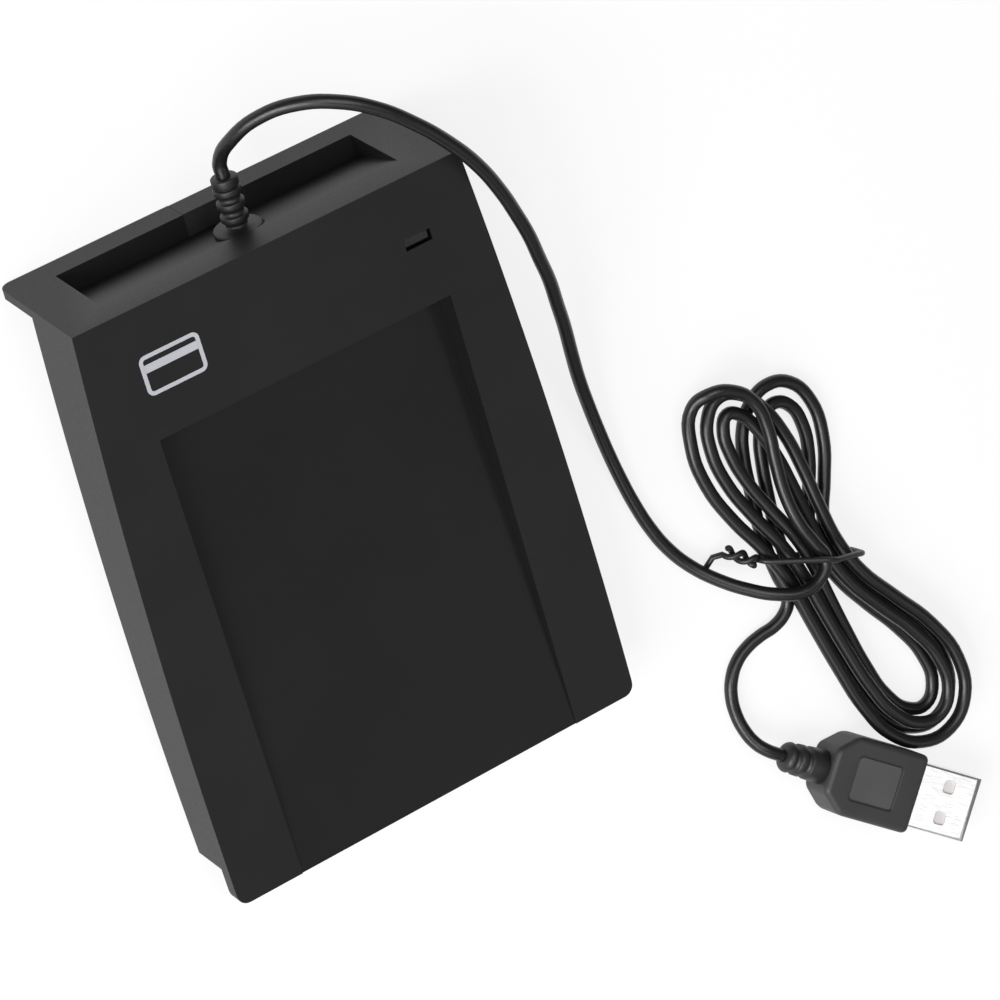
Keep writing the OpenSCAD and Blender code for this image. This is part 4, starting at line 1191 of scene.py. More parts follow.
    def _window(self) -> bpy.types.Object:
        """Draws the status window's opening.

        Returns:
            The opening's space.
        """
        half_x, half_v = self.window_size[0] / 2, self.window_size[1] / 2
        low = [LINES.on_top(self.window_x + x, self.window_v + v, -self.window_deep)
               for x, v in ((-half_x, -half_v), (half_x, -half_v), (half_x, half_v), (-half_x, half_v))]
        return prism("window", low, LINES.rise(0.0, self.window_cut))

    def _corner(self, x: float, v: float, way: float, side: int) -> bpy.types.Object:
        """Builds what rounds one upright corner of the outline, square to the top face.

        Args:
            x: The corner's place to the side, without its sign.
            v: The corner's place along the top face.
            way: 1 where the housing lies towards greater v, -1 where it lies towards less.
            side: -1 for the left and 1 for the right.

        Returns:
            The solid to be taken away.
        """
        soft = self.corner
        curve = [(x - soft + soft * s, v + way * (soft - soft * c)) for c, s in arc()]
        loop = [*curve, (x + PAST, v + way * soft), (x + PAST, v - way * PAST), (x - soft, v - way * PAST)]
        low = [LINES.on_top(side * px, pv, -FAR) for px, pv in loop]
        return prism("corner", low, LINES.rise(0.0, 1.5 * FAR))

    def _foot_corner(self, side: int) -> bpy.types.Object:
        """Builds what rounds one lower corner of the rear face, square to that face.

        Args:
            side: -1 for the left and 1 for the right.

        Returns:
            The solid to be taken away.
        """
        foot = LINES.on_desk(LINES.ridge, LINES.rear_down)
        x, s, soft = LINES.half_width(LINES.run(foot)), LINES.drop(foot), self.corner
        curve = [(x - soft + soft * c, s - soft + soft * up) for c, up in arc()]
        loop = [*curve, (x - soft, s + PAST), (x + PAST, s + PAST), (x + PAST, s - soft)]
        start, reach = self.foot_cut
        low = [(side * px, *LINES.rear(ps, start)) for px, ps in loop]
        return prism("foot corner", low, (0.0, *(LINES.rear_in * reach)))

    def _edge_width(self, p: Vector) -> float:
        """Picks the rounding for an edge of the cover.

        Args:
            p: The edge's middle.

        Returns:
            The rounding, or 0 where the edge stays sharp.
        """
        side = (p.y, p.z)
        v, down, deep, drop = LINES.run(side), LINES.down(side), LINES.deep(side), LINES.drop(side)
        if math.hypot(p.x, drop - LINES.gland_drop) < self.gland_zone and deep > self.gland_skin:
            return 0.0
        if abs(p.x - self.window_x) < self.window_zone[0] and abs(v - self.window_v) < self.window_zone[1]:
            return self.window_edge if down < NEAR else 0.0
        in_tray = abs(p.x) < self.tray_width / 2 + NEAR and v < self.tray_length + NEAR
        if in_tray and down < self.tray_depth + NEAR:
            return self.inner_edge
        on_side = abs(p.x) > LINES.half_width(v) - self.side_band
        if on_side or down < NEAR or deep < NEAR or v < LINES.lip_overhang + NEAR:
            return self.edge if p.z > self.foot_band else self.foot_edge
        in_trough = abs(p.x) < self.trough_width / 2 + NEAR and deep < self.trough_depth + NEAR
        in_height = self.trough_top - 2 * NEAR < drop < self.trough_bottom + 2 * NEAR
        return self.trough_edge if in_trough and in_height else 0.0

    def _mark_tray_shade(self, body: bpy.types.Object) -> None:
        """Gives the tray's floor the cover's second finish, a darker copy of the cover plastic whose darker
        colour is painted shade for the floor's tilt.

        Args:
            body: The cover.
        """
        for face in body.data.polygons:
            at = body.matrix_world @ face.center / MM
            side = (at.y, at.z)
            in_tray = abs(at.x) < self.tray_width / 2 and 0 < LINES.run(side) < self.tray_length
            in_depth = 2 * NEAR < LINES.down(side) < self.tray_depth + NEAR
            if in_tray and in_depth and face.normal.z > LEVEL:
                face.material_index = 1

    def build(self) -> bpy.types.Object:
        """Builds the cover and dresses it.

        Returns:
            The finished cover.
        """
        joined = combine(self._outside(), [
            (Cut.TAKE, self._inside()), (Cut.JOIN, self._tray_block()), (Cut.JOIN, self._trough_block()),
            (Cut.JOIN, self._seat_wall()), (Cut.KEEP, self._planform(0.0)), (Cut.TAKE, self._tray()),
            (Cut.TAKE, self._trough()), (Cut.TAKE, self._tab()), (Cut.TAKE, self._gland_room()),
            (Cut.TAKE, self._window())])
        for side in (-1, 1):
            combine(joined, [(Cut.TAKE, self._corner(LINES.half_width(0), 0.0, 1.0, side)),
                             (Cut.TAKE, self._foot_corner(side))])
        clean(joined)
        round_edges(joined, self._edge_width)
        # The tray floor's faces take the painted shade copy of the cover plastic.
        dress(joined, Finishes.COVER, Finishes.TRAY_SHADE)
        self._mark_tray_shade(joined)
        stand_for(joined, "cover_plastic", "top_cover")
        return joined


@dataclass
class Pictogram:
    """A plain pad-printed card sign on the top face: a round-cornered outline with a stripe.

    Attributes:
        x: Place of its middle to the side.
        v: Place of its middle along the top face.
        width: Its width.
        length: Its length along the top face.
        line: Width of the outline.
        corner: Outer radius of its corners.
        least_corner: Least radius of the inner corners.
        stripe: From where to where the stripe runs, from the middle along the top face.
        stripe_lap: How far the stripe's ends reach under the outline.
        film: Height of the print over the top face.
        sunk: Depth of its underside below the top face.
    """

    x: float = -21.5
    v: float = 94.0
    width: float = 11.0
    length: float = 7.0
    line: float = 0.7
    corner: float = 1.2
    least_corner: float = 0.2
    stripe: Pair = (0.5, 1.9)
    stripe_lap: float = 0.05
    film: float = 0.03
    sunk: float = 0.01

    def _loop(self, inset: float) -> list[Pair]:
        """Returns the round-cornered outline, moved in by an inset."""
        size = (self.width - 2 * inset, self.length - 2 * inset)
        return round_loop((self.x, self.v), size, max(self.corner - inset, self.least_corner))

    def _rows(self, loop: Sequence[Pair]) -> list[Point]:
        """Returns the places of a flat outline at the film's lower and upper face."""
        return [LINES.on_top(x, v, h) for h in (-self.sunk, self.film) for x, v in loop]

    def build(self) -> bpy.types.Object:
        """Builds the print as a thin film and dresses it.

        Returns:
            The print.
        """
        outer, inner = self._loop(0.0), self._loop(self.line)
        count = len(outer)
        points = [*self._rows(outer), *self._rows(inner)]
        outer_low, outer_high, inner_low, inner_high = (k * count for k in range(4))
        joints = ((outer_high, inner_high), (outer_low, outer_high), (inner_low, inner_high),
                  (outer_low, inner_low))
        ring = [(i, (i + 1) % count) for i in range(count)]
        faces = [(p + i, p + j, q + j, q + i) for i, j in ring for p, q in joints]
        half = self.width / 2 - self.line + self.stripe_lap
        near, far = (self.v + edge for edge in self.stripe)
        low = len(points)
        points += self._rows([(self.x - half, near), (self.x + half, near), (self.x + half, far),
                              (self.x - half, far)])
        high = low + 4
        faces += [tuple(range(low, high)), tuple(range(high, high + 4))]
        faces += [(low + i, low + (i + 1) % 4, high + (i + 1) % 4, high + i) for i in range(4)]
        made = mesh_object("card_sign", points, faces)
        dress(made, Finishes.PRINT)
        stand_for(made, "tongue_plastic")
        return made


@dataclass
class Gland:
    """The cord's rubber gland: flange, ribbed sleeve and collar.

    Attributes:
        inner: Place of its inner end, from the rear face outwards.
        flange: Thickness of the flange on either side of the wall.
        wall: Length of the neck between the flanges.
        flange_radius: Radius of the outer flange.
        inner_radius: Radius of the inner one.
        neck_radius: Radius of the neck.
        core_radius: Radius of the sleeve between its ribs.
        rib_radius: Radius of the ribs.
        collar_radius: Radius of the collar.
        length: Length of the sleeve with its collar.
        rib: Thickness of a rib.
        pitch: Distance from rib to rib.
        ribs: Number of ribs.
        collar: Length of the collar.
        inner_soft: Rounding of the inner flange.
        flange_soft: Rounding of the outer flange.
        rib_soft: Rounding of the ribs and the collar.
    """

    inner: float = -4.4
    flange: float = 1.2
    wall: float = 1.6
    flange_radius: float = 4.1
    inner_radius: float = 3.0
    neck_radius: float = 2.1
    core_radius: float = 1.85
    rib_radius: float = 2.35
    collar_radius: float = 2.25
    length: float = 9.0
    rib: float = 1.2
    pitch: float = 2.4
    ribs: int = 3
    collar: float = 1.6
    inner_soft: float = 0.2
    flange_soft: float = 0.35
    rib_soft: float = 0.3

    @staticmethod
    def _rounded(radius: float, low: float, high: float, soft: float) -> list[Pair]:
        """Draws the profile of one disc with its two rims rounded.

        Args:
            radius: The disc's radius.
            low: Its lower end.
            high: Its upper end.
            soft: Rounding of its rims.

        Returns:
            The profile from its lower end to its upper end.
        """
        turns = arc(step=30)
        return [*[(radius - soft + soft * s, low + soft - soft * c) for c, s in turns],
                *[(radius - soft + soft * c, high - soft + soft * s) for c, s in turns]]

    def _profile(self) -> list[Pair]:
        """Draws the profile of the whole gland.

        Returns:
            The profile from its inner end to its tip.
        """
        neck = self.inner + self.flange
        outer = neck + self.wall
        sleeve = outer + self.flange
        tip = sleeve + self.length
        profile = [(0.0, self.inner), *self._rounded(self.inner_radius, self.inner, neck, self.inner_soft),
                   (self.neck_radius, neck), (self.neck_radius, outer),
                   *self._rounded(self.flange_radius, outer, sleeve, self.flange_soft),
                   (self.core_radius, sleeve)]
        for k in range(self.ribs):
            low = sleeve + self.pitch / 2 + k * self.pitch
            high = low + self.rib
            profile += [(self.core_radius, low), *self._rounded(self.rib_radius, low, high, self.rib_soft),
                        (self.core_radius, high)]
        start = tip - self.collar
        return [*profile, (self.core_radius, start),
                *self._rounded(self.collar_radius, start, tip, self.rib_soft), (0.0, tip)]

    def build(self) -> bpy.types.Object:
        """Builds the gland about its axis square to the rear face, and dresses it.

        Returns:
            The gland.
        """
        made = lathe("gland_piece", self._profile(), LINES.on_rear(LINES.gland_drop))
        smooth(made)
        dress(made, Finishes.GLAND)
        stand_for(made, "gland_rubber", "cable_gland")
        return made


# Cord


@dataclass
class Cord:
    """The soft cord from the gland, through the tied hank, to the plug.

    The hank's own frame has its axis along u, from the waist to the upper folds, and q to its right side.

    Attributes:
        diameter: The cord's diameter.
        loops: Number of loops in the hank.
        step: Distance from loop to loop, inwards.
        waist_step: What is added to it at the waist.
        rise: Height of the hank's upper layer over its lower one.
        high_loop: Distance from the waist to the outer fold of the upper layer's loops.
        low_loop: The same for the lower layer's loops.
        lower: Distance from the waist to the outer fold at the other end.
        upper_half: Half the width of the upper part.
        lower_half: Half the width of the lower part.
        waist: Half the width of the waist.
        upper_draw: How far up the waist draws the strands in.
        lower_draw: How far down it does.
        high_bow: How far the upper layer's loops lean to the side.
        low_bow: How far the lower layer's loops lean.
        lower_bow: How far the lower part leans.
        place: Place of the waist on the desk.
        turn: Direction of the hank's axis, in degrees from X.
        rings: Places for each loop.
        early: Places before the first loop.
        lift: Height of the strands over the desk at the waist.
        closer: How much closer together the places lie at the waist, in degrees.
        drop_rate: How fast the strand goes from the upper layer to the lower one, for each loop.
        drop_lead: How far it has gone down halfway.
        hook_side: Place of the lead's hook at the waist, on q.
        gland_tip: Distance from the rear face to the gland's end.
    """

    diameter: float = 2.4
    loops: int = 4
    step: float = 3.55
    waist_step: float = -0.62
    rise: float = 3.1
    high_loop: float = 37.6
    low_loop: float = 30.7
    lower: float = 45.2
    upper_half: float = 11.0
    lower_half: float = 15.6
    waist: float = 6.65
    upper_draw: float = 17.0
    lower_draw: float = 31.0
    high_bow: float = -1.0
    low_bow: float = 10.0
    lower_bow: float = 8.4
    place: Pair = (83.0, -51.1)
    turn: float = 100.3
    rings: int = 24
    early: int = 5
    lift: float = 1.4
    closer: float = 7.0
    drop_rate: float = 5.0
    drop_lead: float = 0.15
    hook_side: float = 0.4
    gland_tip: float = 8.6

    def to_desk(self, u: float, q: float, z: float) -> Point:
        """Returns the place u along the hank's axis and q to its side, at height z."""
        c, s = aim(self.turn)
        return (self.place[0] + u * c + q * s, self.place[1] + u * s - q * c, z)

    def hank_point(self, t: float) -> Point:
        """Finds a place on the hank.

        Args:
            t: Loops from the waist's left side on.

        Returns:
            The place on the desk.
        """
        even = math.radians(270.0 - 360.0 * t)
        turn = even + math.radians(self.closer) * math.sin(2 * even)
        inner = min(t, self.loops - t)
        drop = max(0.0, min(1.0, self.drop_rate * (t - self.loops / 2) + self.drop_lead))
        reach, bow, draw, full = self.lower, self.lower_bow, self.lower_draw, self.lower_half
        if math.cos(turn) > 0:
            reach = self.high_loop + (self.low_loop - self.high_loop) * drop
            bow = self.high_bow + (self.low_bow - self.high_bow) * drop
            draw, full = self.upper_draw, self.upper_half
        u = (reach - self.step * inner) * math.cos(turn)
        drawn = math.exp(-(u / draw) ** 2)
        half = full - (full - self.waist) * drawn - (self.step + self.waist_step * drawn) * inner
        q = half * math.sin(turn) * math.sqrt(1 + math.cos(turn) ** 2)
        lean = math.atan(2 * bow * u * drawn / draw ** 2)
        return self.to_desk(u - q * math.sin(lean), bow * (1 - drawn) + q * math.cos(lean),
                            self.diameter / 2 + self.lift * drawn + self.rise * (1 - drop))

    def gland_end(self, beyond: float = 0.0) -> Point:
        """Returns the place where the cord leaves the gland, or one beyond it."""
        return (0.0, *map(float, LINES.rear(LINES.gland_drop, -self.gland_tip - beyond)))

    def lead(self) -> list[Point]:
        """Returns the free stretch from the gland to the hank, without the hank's own places."""
        return [self.gland_end(), self.gland_end(self.diameter), (1.9, 66.3, 22.6), (6, 68.6, 26.8),
                (11, 68.8, 30.4), (16.4, 67, 33), (21.8, 63.6, 34.2), (27, 58.8, 34.2), (32, 53.2, 32.8),
                (36.4, 47.2, 30.6), (40, 40.6, 27.8), (42.2, 35.5, 25.5), (44, 30.5, 23.5), (45.5, 25.5, 21),
                (47, 20.5, 18.5), (48, 15.5, 16), (49, 10.5, 13.5), (49.7, 5, 11), (50.5, -0.5, 8.5),
                (51.5, -6, 6.3), (52.5, -11.5, 4.5), (53.5, -17, 3), (54.5, -22.5, 2), (55.6, -28, 1.4),
                (57, -33.5, 1.2), (58.9, -38.5, 1.3), (61.5, -43, 2), (64.8, -47, 3.6), (68.6, -50.4, 5.6),
                (72.8, -53.1, 7.6), (77.2, -54.6, 8.7), (81, -53.9, 8.8), (83.4, -51, 8.8),
                *[self.to_desk(u, q, z) for u, q, z in (
                    (3.5, 0, 8.8), (8, -0.6, 8.4), (14, 0, 7.6), (20, 1.6, 7.2), (26, 3.4, 7.1),
                    (31, 3.6, 7.1), (35.3, 1.2, 7.1), (37.4, -3, 6.4))]]

    def tail(self) -> list[Point]:
        """Returns the free stretch from the hank to the plug, without the hank's own places."""
        return [(76.8, -57.3, 2.5), (75.4, -59.3, 2.2), (73, -60.6, 1.8), (70, -61.1, 1.4), (67, -61.9, 1.2),
                (64.2, -63.4, 1.2), (62.2, -65.7, 1.2), (61, -68.6, 1.2), (60.6, -71.9, 1.3),
                (60.8, -75.2, 1.9), (61.6, -78, 2.7), (62.9, -80, 3.5), PLUG_PLACE]

    def route(self) -> list[Point]:
        """Joins the cord's stretches.

        Returns:
            Its places from the gland to the plug.
        """
        last = np.array(self.hank_point(self.loops)) - np.array((*aim(self.turn), 0.0)) * self.diameter
        hank = [self.hank_point(i / self.rings) for i in range(-self.early, self.loops * self.rings + 1)]
        return [*self.lead(), *hank, tuple(last), *self.tail()]

    def build(self) -> bpy.types.Object:
        """Builds the cord as one curve and dresses it.

        Returns:
            The cord.
        """
        data = bpy.data.curves.new("cord_piece", "CURVE")
        data.dimensions, data.bevel_depth, data.bevel_resolution = "3D", self.diameter / 2 * MM, 5
        data.resolution_u, data.use_fill_caps = 5, True
        line = data.splines.new("BEZIER")
        route = self.route()
        line.bezier_points.add(len(route) - 1)
        for knot, place in zip(line.bezier_points, route):
            knot.co = tuple(c * MM for c in place)
            knot.handle_left_type = knot.handle_right_type = "AUTO"
        made = new_object("cord_piece", data)
        dress(made, Finishes.JACKET)
        return made

    def length(self) -> float:
        """Returns the cord's length in millimetres, along its smooth line."""
        places = np.array(finer(self.route()))
        return float(np.linalg.norm(np.diff(places, axis=0), axis=1).sum())

    def declare(self, cord: bpy.types.Object) -> None:
        """Says what the cord is and which solids it replaces; its gland end and its length are worked out and
        not kept.

        Args:
            cord: The cord's piece.
        """
        stand_for(cord, "cord_jacket", "cord_lead", "cord_hank", "cord_tail")
        tuple(c * MM for c in self.gland_end())
        round(self.length() * MM, 3)


@dataclass
class Tie:
    """A coated wire round the hank's waist, with its ends twisted together.

    Attributes:
        cord: The cord that it ties.
        diameter: The wire's diameter.
        gap: Room between the wire and the cord.
        slant: How far the band slants along the hank's axis, for each step to its side.
        room: How much wider than the waist the band is on each side.
        bend_steps: Places over each bend of the band.
        twist_length: Length of the twisted ends.
        twist_pitch: Length of one turn of the twist.
        twist_lean: Direction of the twist from straight out to the side, in degrees.
        twist_fall: How fast the twist goes down.
        twist_steps: Stretches over the twist.
        end: Places of the bent end behind the twist, in the hank's own frame.
    """

    cord: Cord
    diameter: float = 1.1
    gap: float = 0.3
    slant: float = 0.6
    room: float = 0.8
    bend_steps: int = 7
    twist_length: float = 5.5
    twist_pitch: float = 5.0
    twist_lean: float = 52.0
    twist_fall: float = 0.3
    twist_steps: int = 24
    end: tuple[Point, ...] = ((10.6, -15.4, 2.2), (9.4, -17, 1.2), (8, -18.8, 0.8))

    @property
    def spread(self) -> float:
        """Half the distance between the two wires of the twist."""
        return (self.diameter + 1.5 * self.gap) / 2

    def _wrap(self) -> list[Pair]:
        """Lays the band round the strands.

        Returns:
            Its places as [q, z], from the left side over the top.
        """
        c = self.cord
        offset = c.diameter / 2 + self.gap + self.diameter / 2
        low = c.diameter / 2 + self.diameter + self.gap
        left, right = c.waist + self.room, c.waist - (c.step + c.waist_step) / 2 + self.room
        centres = ((-left, low + c.rise), (c.hook_side, low + 2 * c.rise), (right, low + c.rise),
                   (right, low), (-left, low))
        facing = (180.0, 90 + math.degrees(math.atan2(c.rise, c.hook_side + left)),
                  90 - math.degrees(math.atan2(c.rise, right - c.hook_side)), 0.0, -90.0, -180.0)
        return [(q + offset * aim(a)[0], z + offset * aim(a)[1])
                for (q, z), first, last in zip(centres, facing, facing[1:])
                for a in np.linspace(first, last, self.bend_steps)]

    def _twist(self, side: int, i: int, root: Pair) -> Point:
        """Finds a place on one of the two twisted ends.

        Args:
            side: 1 for the end that the route starts with, -1 for the other.
            i: Steps from the band on.
            root: The band's last place, as [q, z].

        Returns:
            The place on the desk.
        """
        c, s = aim(self.twist_lean)
        far = self.twist_length * i / self.twist_steps
        out, up = aim(360 * far / self.twist_pitch)
        across, run = side * self.spread * out, self.diameter + far
        return self.cord.to_desk(run * s + across * c - self.slant * root[0], root[0] - run * c + across * s,
                                 root[1] - self.twist_fall * far + side * self.spread * up)

    def route(self) -> list[Point]:
        """Joins the band and the twisted ends.

        Returns:
            The wire's places, from one end to the other.
        """
        wrap = self._wrap()
        last = len(wrap) - 1
        band = [self.cord.to_desk(self.spread * (1 - 2 * i / last) - self.slant * q, q, z)
                for i, (q, z) in enumerate(wrap)]
        first, second = ([self._twist(side, i, wrap[0]) for i in range(self.twist_steps + 1)]
                         for side in (1, -1))
        return [*first[::-1], *band, *second, *[self.cord.to_desk(*place) for place in self.end]]

    def build(self) -> bpy.types.Object:
        """Builds the tie as a round wire and dresses it.

        Returns:
            The tie.
        """
        made = sweep("tie_piece", self.route(), self.diameter)
        dress(made, Finishes.TIE)
        stand_for(made, "tie_wire", "hank_tie")
        return made


# Plug


@dataclass
class Plug:
    """The flat plug: strain relief, moulded grip with a sunk panel, and metal shell.

    The plug's own frame has X from the cord to the open end, Y to the side and Z up.

    Attributes:
        turn: Direction of the plug, in degrees from X.
        relief: Length of the strain relief.
        relief_radius: Its radius at the grip.
        relief_tip: Its radius at the cord.
        tip_flat: Radius of its flat start round the cord.
        tip_soft: Length of its rounded start.
        grooves: Number of grooves round it.
        groove_start: Place of the first groove's middle.
        groove_pitch: Distance from groove to groove.
        groove: Width of a groove.
        groove_depth: Its depth.
        groove_soft: Rounding inside a groove.
        groove_edge: How far its rims are softened on either side.
        groove_rim: How far from a groove the full radius starts.
        groove_land: How far past a groove the radius between the grooves is read.
        grip: Length of the grip.
        grip_width: Its width.
        grip_height: Its height.
        grip_soft: Rounding of its edges.
        shoulder: Length of the shoulder behind the strain relief.
        shoulder_width: Width at the shoulder's start.
        panel: Length and width of the sunk panel.
        panel_depth: Depth of the groove's floor round it.
        panel_soft: Radius of its corners.
        panel_groove: Width of the groove round its face.
        face_soft: Radius of the face's corners.
        face_drop: How far the face lies below the grip's surface.
        face_root: How deep the face's block starts.
        shell: Length of the shell past the grip.
        shell_root: How deep it sits in the grip.
        shell_size: Its width and height.
        shell_soft: Radius of its outer corners.
        shell_inner: Radius of its inner corners.
        shell_room: Room round the shell in the grip.
        shell_edge: Rounding of its edges.
        sheet: Thickness of its sheet.
        window: Side of its square windows.
        window_soft: Radius of their corners.
        window_run: Distance from the open end to a window.
        window_side: Place of a window's middle to the side.
        lead_in: Length of the slope at the open end.
        lead_drop: Depth of that slope.
        brim: How far the slope's cutting wedges reach past the shell.
    """

    turn: float = -41.0
    relief: float = 8.4
    relief_radius: float = 3.2
    relief_tip: float = 2.7
    tip_flat: float = 1.45
    tip_soft: float = 1.3
    grooves: int = 2
    groove_start: float = 2.1
    groove_pitch: float = 2.4
    groove: float = 0.9
    groove_depth: float = 0.7
    groove_soft: float = 0.18
    groove_edge: float = 0.05
    groove_rim: float = 0.22
    groove_land: float = 1.0
    grip: float = 19.5
    grip_width: float = 14.6
    grip_height: float = 8.0
    grip_soft: float = 1.15
    shoulder: float = 4.2
    shoulder_width: float = 8.0
    panel: Pair = (10.0, 8.6)
    panel_depth: float = 0.4
    panel_soft: float = 0.8
    panel_groove: float = 0.45
    face_soft: float = 0.6
    face_drop: float = 0.12
    face_root: float = 2.0
    shell: float = 13.2
    shell_root: float = 5.0
    shell_size: Pair = (12.0, 4.5)
    shell_soft: float = 0.55
    shell_inner: float = 0.3
    shell_room: float = 0.1
    shell_edge: float = 0.08
    sheet: float = 0.32
    window: float = 2.4
    window_soft: float = 0.55
    window_run: float = 5.2
    window_side: float = 2.9
    lead_in: float = 1.1
    lead_drop: float = 0.22
    brim: float = 0.1

    @property
    def frame(self) -> Matrix:
        """The plug's frame in millimetres."""
        return Matrix.Translation(PLUG_PLACE) @ Matrix.Rotation(math.radians(self.turn), 4, "Z")

    @property
    def grip_end(self) -> float:
        """Place of the grip's end on X, where the shell comes out."""
        return self.relief + self.grip

    @property
    def panel_middle(self) -> Pair:
        """Middle of the sunk panel."""
        return ((self.relief + self.grip_end) / 2, 0.0)

    def _at(self, x: float, y: float, z: float) -> Point:
        """Returns a place in the plug's frame as a place on the desk."""
        return tuple(self.frame @ Vector((x, y, z)))

    def _between(self, a: Point, b: Point) -> Point:
        """Returns the vector from one place in the plug's frame to another, on the desk."""
        return tuple(np.array(self._at(*b)) - np.array(self._at(*a)))

    def _tile(self, name: str, loop: Sequence[Pair], low: float, high: float) -> bpy.types.Object:
        """Returns a flat tile from its outline and its two heights, in the plug's frame."""
        return prism(name, [self._at(x, y, low) for x, y in loop], (0.0, 0.0, high - low))

    def _radius(self, x: float) -> float:
        """Returns the strain relief's full radius at x."""
        return self.relief_tip + (self.relief_radius - self.relief_tip) * x / self.relief

    def _relief_profile(self) -> list[Pair]:
        """Draws the strain relief's profile, with a bulging start and its grooves.

        Returns:
            The profile as [radius, x].
        """
        bulge, soft = self._radius(self.tip_soft) - self.tip_flat, self.groove_soft
        profile = [(0.0, 0.0), (self.tip_flat, 0.0)]
        profile += [(self.tip_flat + bulge * s, self.tip_soft - self.tip_soft * c) for c, s in arc()[1:]]
        for k in range(self.grooves):
            low = self.groove_start + k * self.groove_pitch - self.groove / 2
            high = low + self.groove
            profile += [(self._radius(low) - soft, low - self.groove_edge),
                        (self._radius(low) - self.groove_depth, low + soft),
                        (self._radius(high) - self.groove_depth, high - soft),
                        (self._radius(high) - soft, high + self.groove_edge),
                        (self._radius(high), high + self.groove_rim)]
            if k < self.grooves - 1:
                land = self._radius(high + self.groove_land)
                profile += [(land, low + self.groove_pitch - self.groove_rim)]
        return [*profile, (self.relief_radius, self.relief), (0.0, self.relief)]

    def relief_piece(self) -> bpy.types.Object:
        """Builds the strain relief and dresses it in a darker copy of the grip plastic, whose darker colour
        is painted shade.

        Returns:
            The strain relief.
        """
        upright = self.frame @ Matrix.Rotation(math.radians(90), 4, "Y")
        made = lathe("relief_piece", self._relief_profile(), upright)
        smooth(made)
        dress(made, Finishes.RELIEF_SHADE)
        stand_for(made, "plug_plastic", "plug_relief")
        return made

    def _mark_panel_sheen(self, body: bpy.types.Object) -> None:
        """Gives the panel's faces on both sides the grip's second finish, a lighter copy of the grip plastic
        whose lighter colour is painted sheen.

        Args:
            body: The grip.
        """
        back = self.frame.inverted()
        places = [back @ (body.matrix_world @ v.co / MM) for v in body.data.vertices]
        middle, deepest = self.panel_middle, (self.grip_height - self.panel_depth) / 2
        half_x, half_y = self.panel[0] / 2 - 2 * NEAR, self.panel[1] / 2 - 2 * NEAR
        for face in body.data.polygons:
            corners = [places[i] for i in face.vertices]
            inside = all(abs(p.x - middle[0]) < half_x and abs(p.y - middle[1]) < half_y for p in corners)
            if inside and abs(face.normal.z) > LEVEL and all(abs(p.z) > deepest for p in corners):
                face.material_index = 1

    def _panel_tools(self) -> list[tuple[Cut, bpy.types.Object]]:
        """Draws what works the sunk panel into both sides of the grip.

        Returns:
            The solids and how they act.
        """
        half = self.grip_height / 2
        face_size = (self.panel[0] - 2 * self.panel_groove, self.panel[1] - 2 * self.panel_groove)
        panel = round_loop(self.panel_middle, self.panel, self.panel_soft)
        face = round_loop(self.panel_middle, face_size, self.face_soft)
        tools: list[tuple[Cut, bpy.types.Object]] = []
        for side in (-1, 1):
            low, high = sorted((side * (half - self.panel_depth), side * (half + PAST)))
            tools.append((Cut.TAKE, self._tile("panel", panel, low, high)))
            low, high = sorted((side * (half - self.face_root), side * (half - self.face_drop)))
            tools.append((Cut.JOIN, self._tile("panel face", face, low, high)))
        return tools

    def grip_piece(self) -> bpy.types.Object:
        """Builds the moulded grip and dresses it.

        Returns:
            The grip.
        """
        start, end, half = self.relief, self.grip_end, self.grip_height / 2
        wide, narrow = self.grip_width / 2, self.shoulder_width / 2
        outline = [(start, -narrow), (start + self.shoulder, -wide), (end, -wide), (end, wide),
                   (start + self.shoulder, wide), (start, narrow)]
        body = self._tile("grip_piece", outline, -half, half)
        round_edges(body, lambda p: self.grip_soft, steps=5)
        half_y, half_z = (size / 2 + self.shell_room for size in self.shell_size)
        hole = [(end - self.shell_root, -half_y), (end + PAST, -half_y), (end + PAST, half_y),
                (end - self.shell_root, half_y)]
        combine(body, [*self._panel_tools(), (Cut.TAKE, self._tile("socket", hole, -half_z, half_z))])
        smooth(body)
        # The panel's faces take the painted sheen copy of the grip plastic.
        dress(body, Finishes.GRIP, Finishes.PANEL_SHEEN)
        self._mark_panel_sheen(body)
        stand_for(body, "plug_plastic", "plug_grip")
        return body

    def _tube(self, name: str, inset: float, ends: Pair, radius: float) -> bpy.types.Object:
        """Draws the shell's section out along the plug.

        Args:
            name: The object's name.
            inset: How far the section is moved in.
            ends: Where the solid starts and stops on X.
            radius: Radius of its corners.

        Returns:
            The solid.
        """
        size = (2 * (self.shell_size[0] / 2 - inset), 2 * (self.shell_size[1] / 2 - inset))
        ring = [self._at(ends[0], y, z) for y, z in round_loop((0.0, 0.0), size, radius)]
        return prism(name, ring, self._between((ends[0], 0, 0), (ends[1], 0, 0)))

    def _lead_in(self, side: int) -> bpy.types.Object:
        """Draws the wedge that slopes one wall of the shell at its open end.

        Args:
            side: 1 for the upper wall, -1 for the lower one.

        Returns:
            The solid to be taken away.
        """
        high_x, half_z = self.grip_end + self.shell, self.shell_size[1] / 2
        reach = self.shell_size[0] / 2 + PAST
        wedge = [(high_x - self.lead_in, half_z), (high_x + self.brim, half_z - self.lead_drop),
                 (high_x + self.brim, half_z + self.brim), (high_x - self.lead_in, half_z + self.brim)]
        return prism("lead in", [self._at(x, -reach, side * z) for x, z in wedge],
                     self._between((0, -reach, 0), (0, reach, 0)))

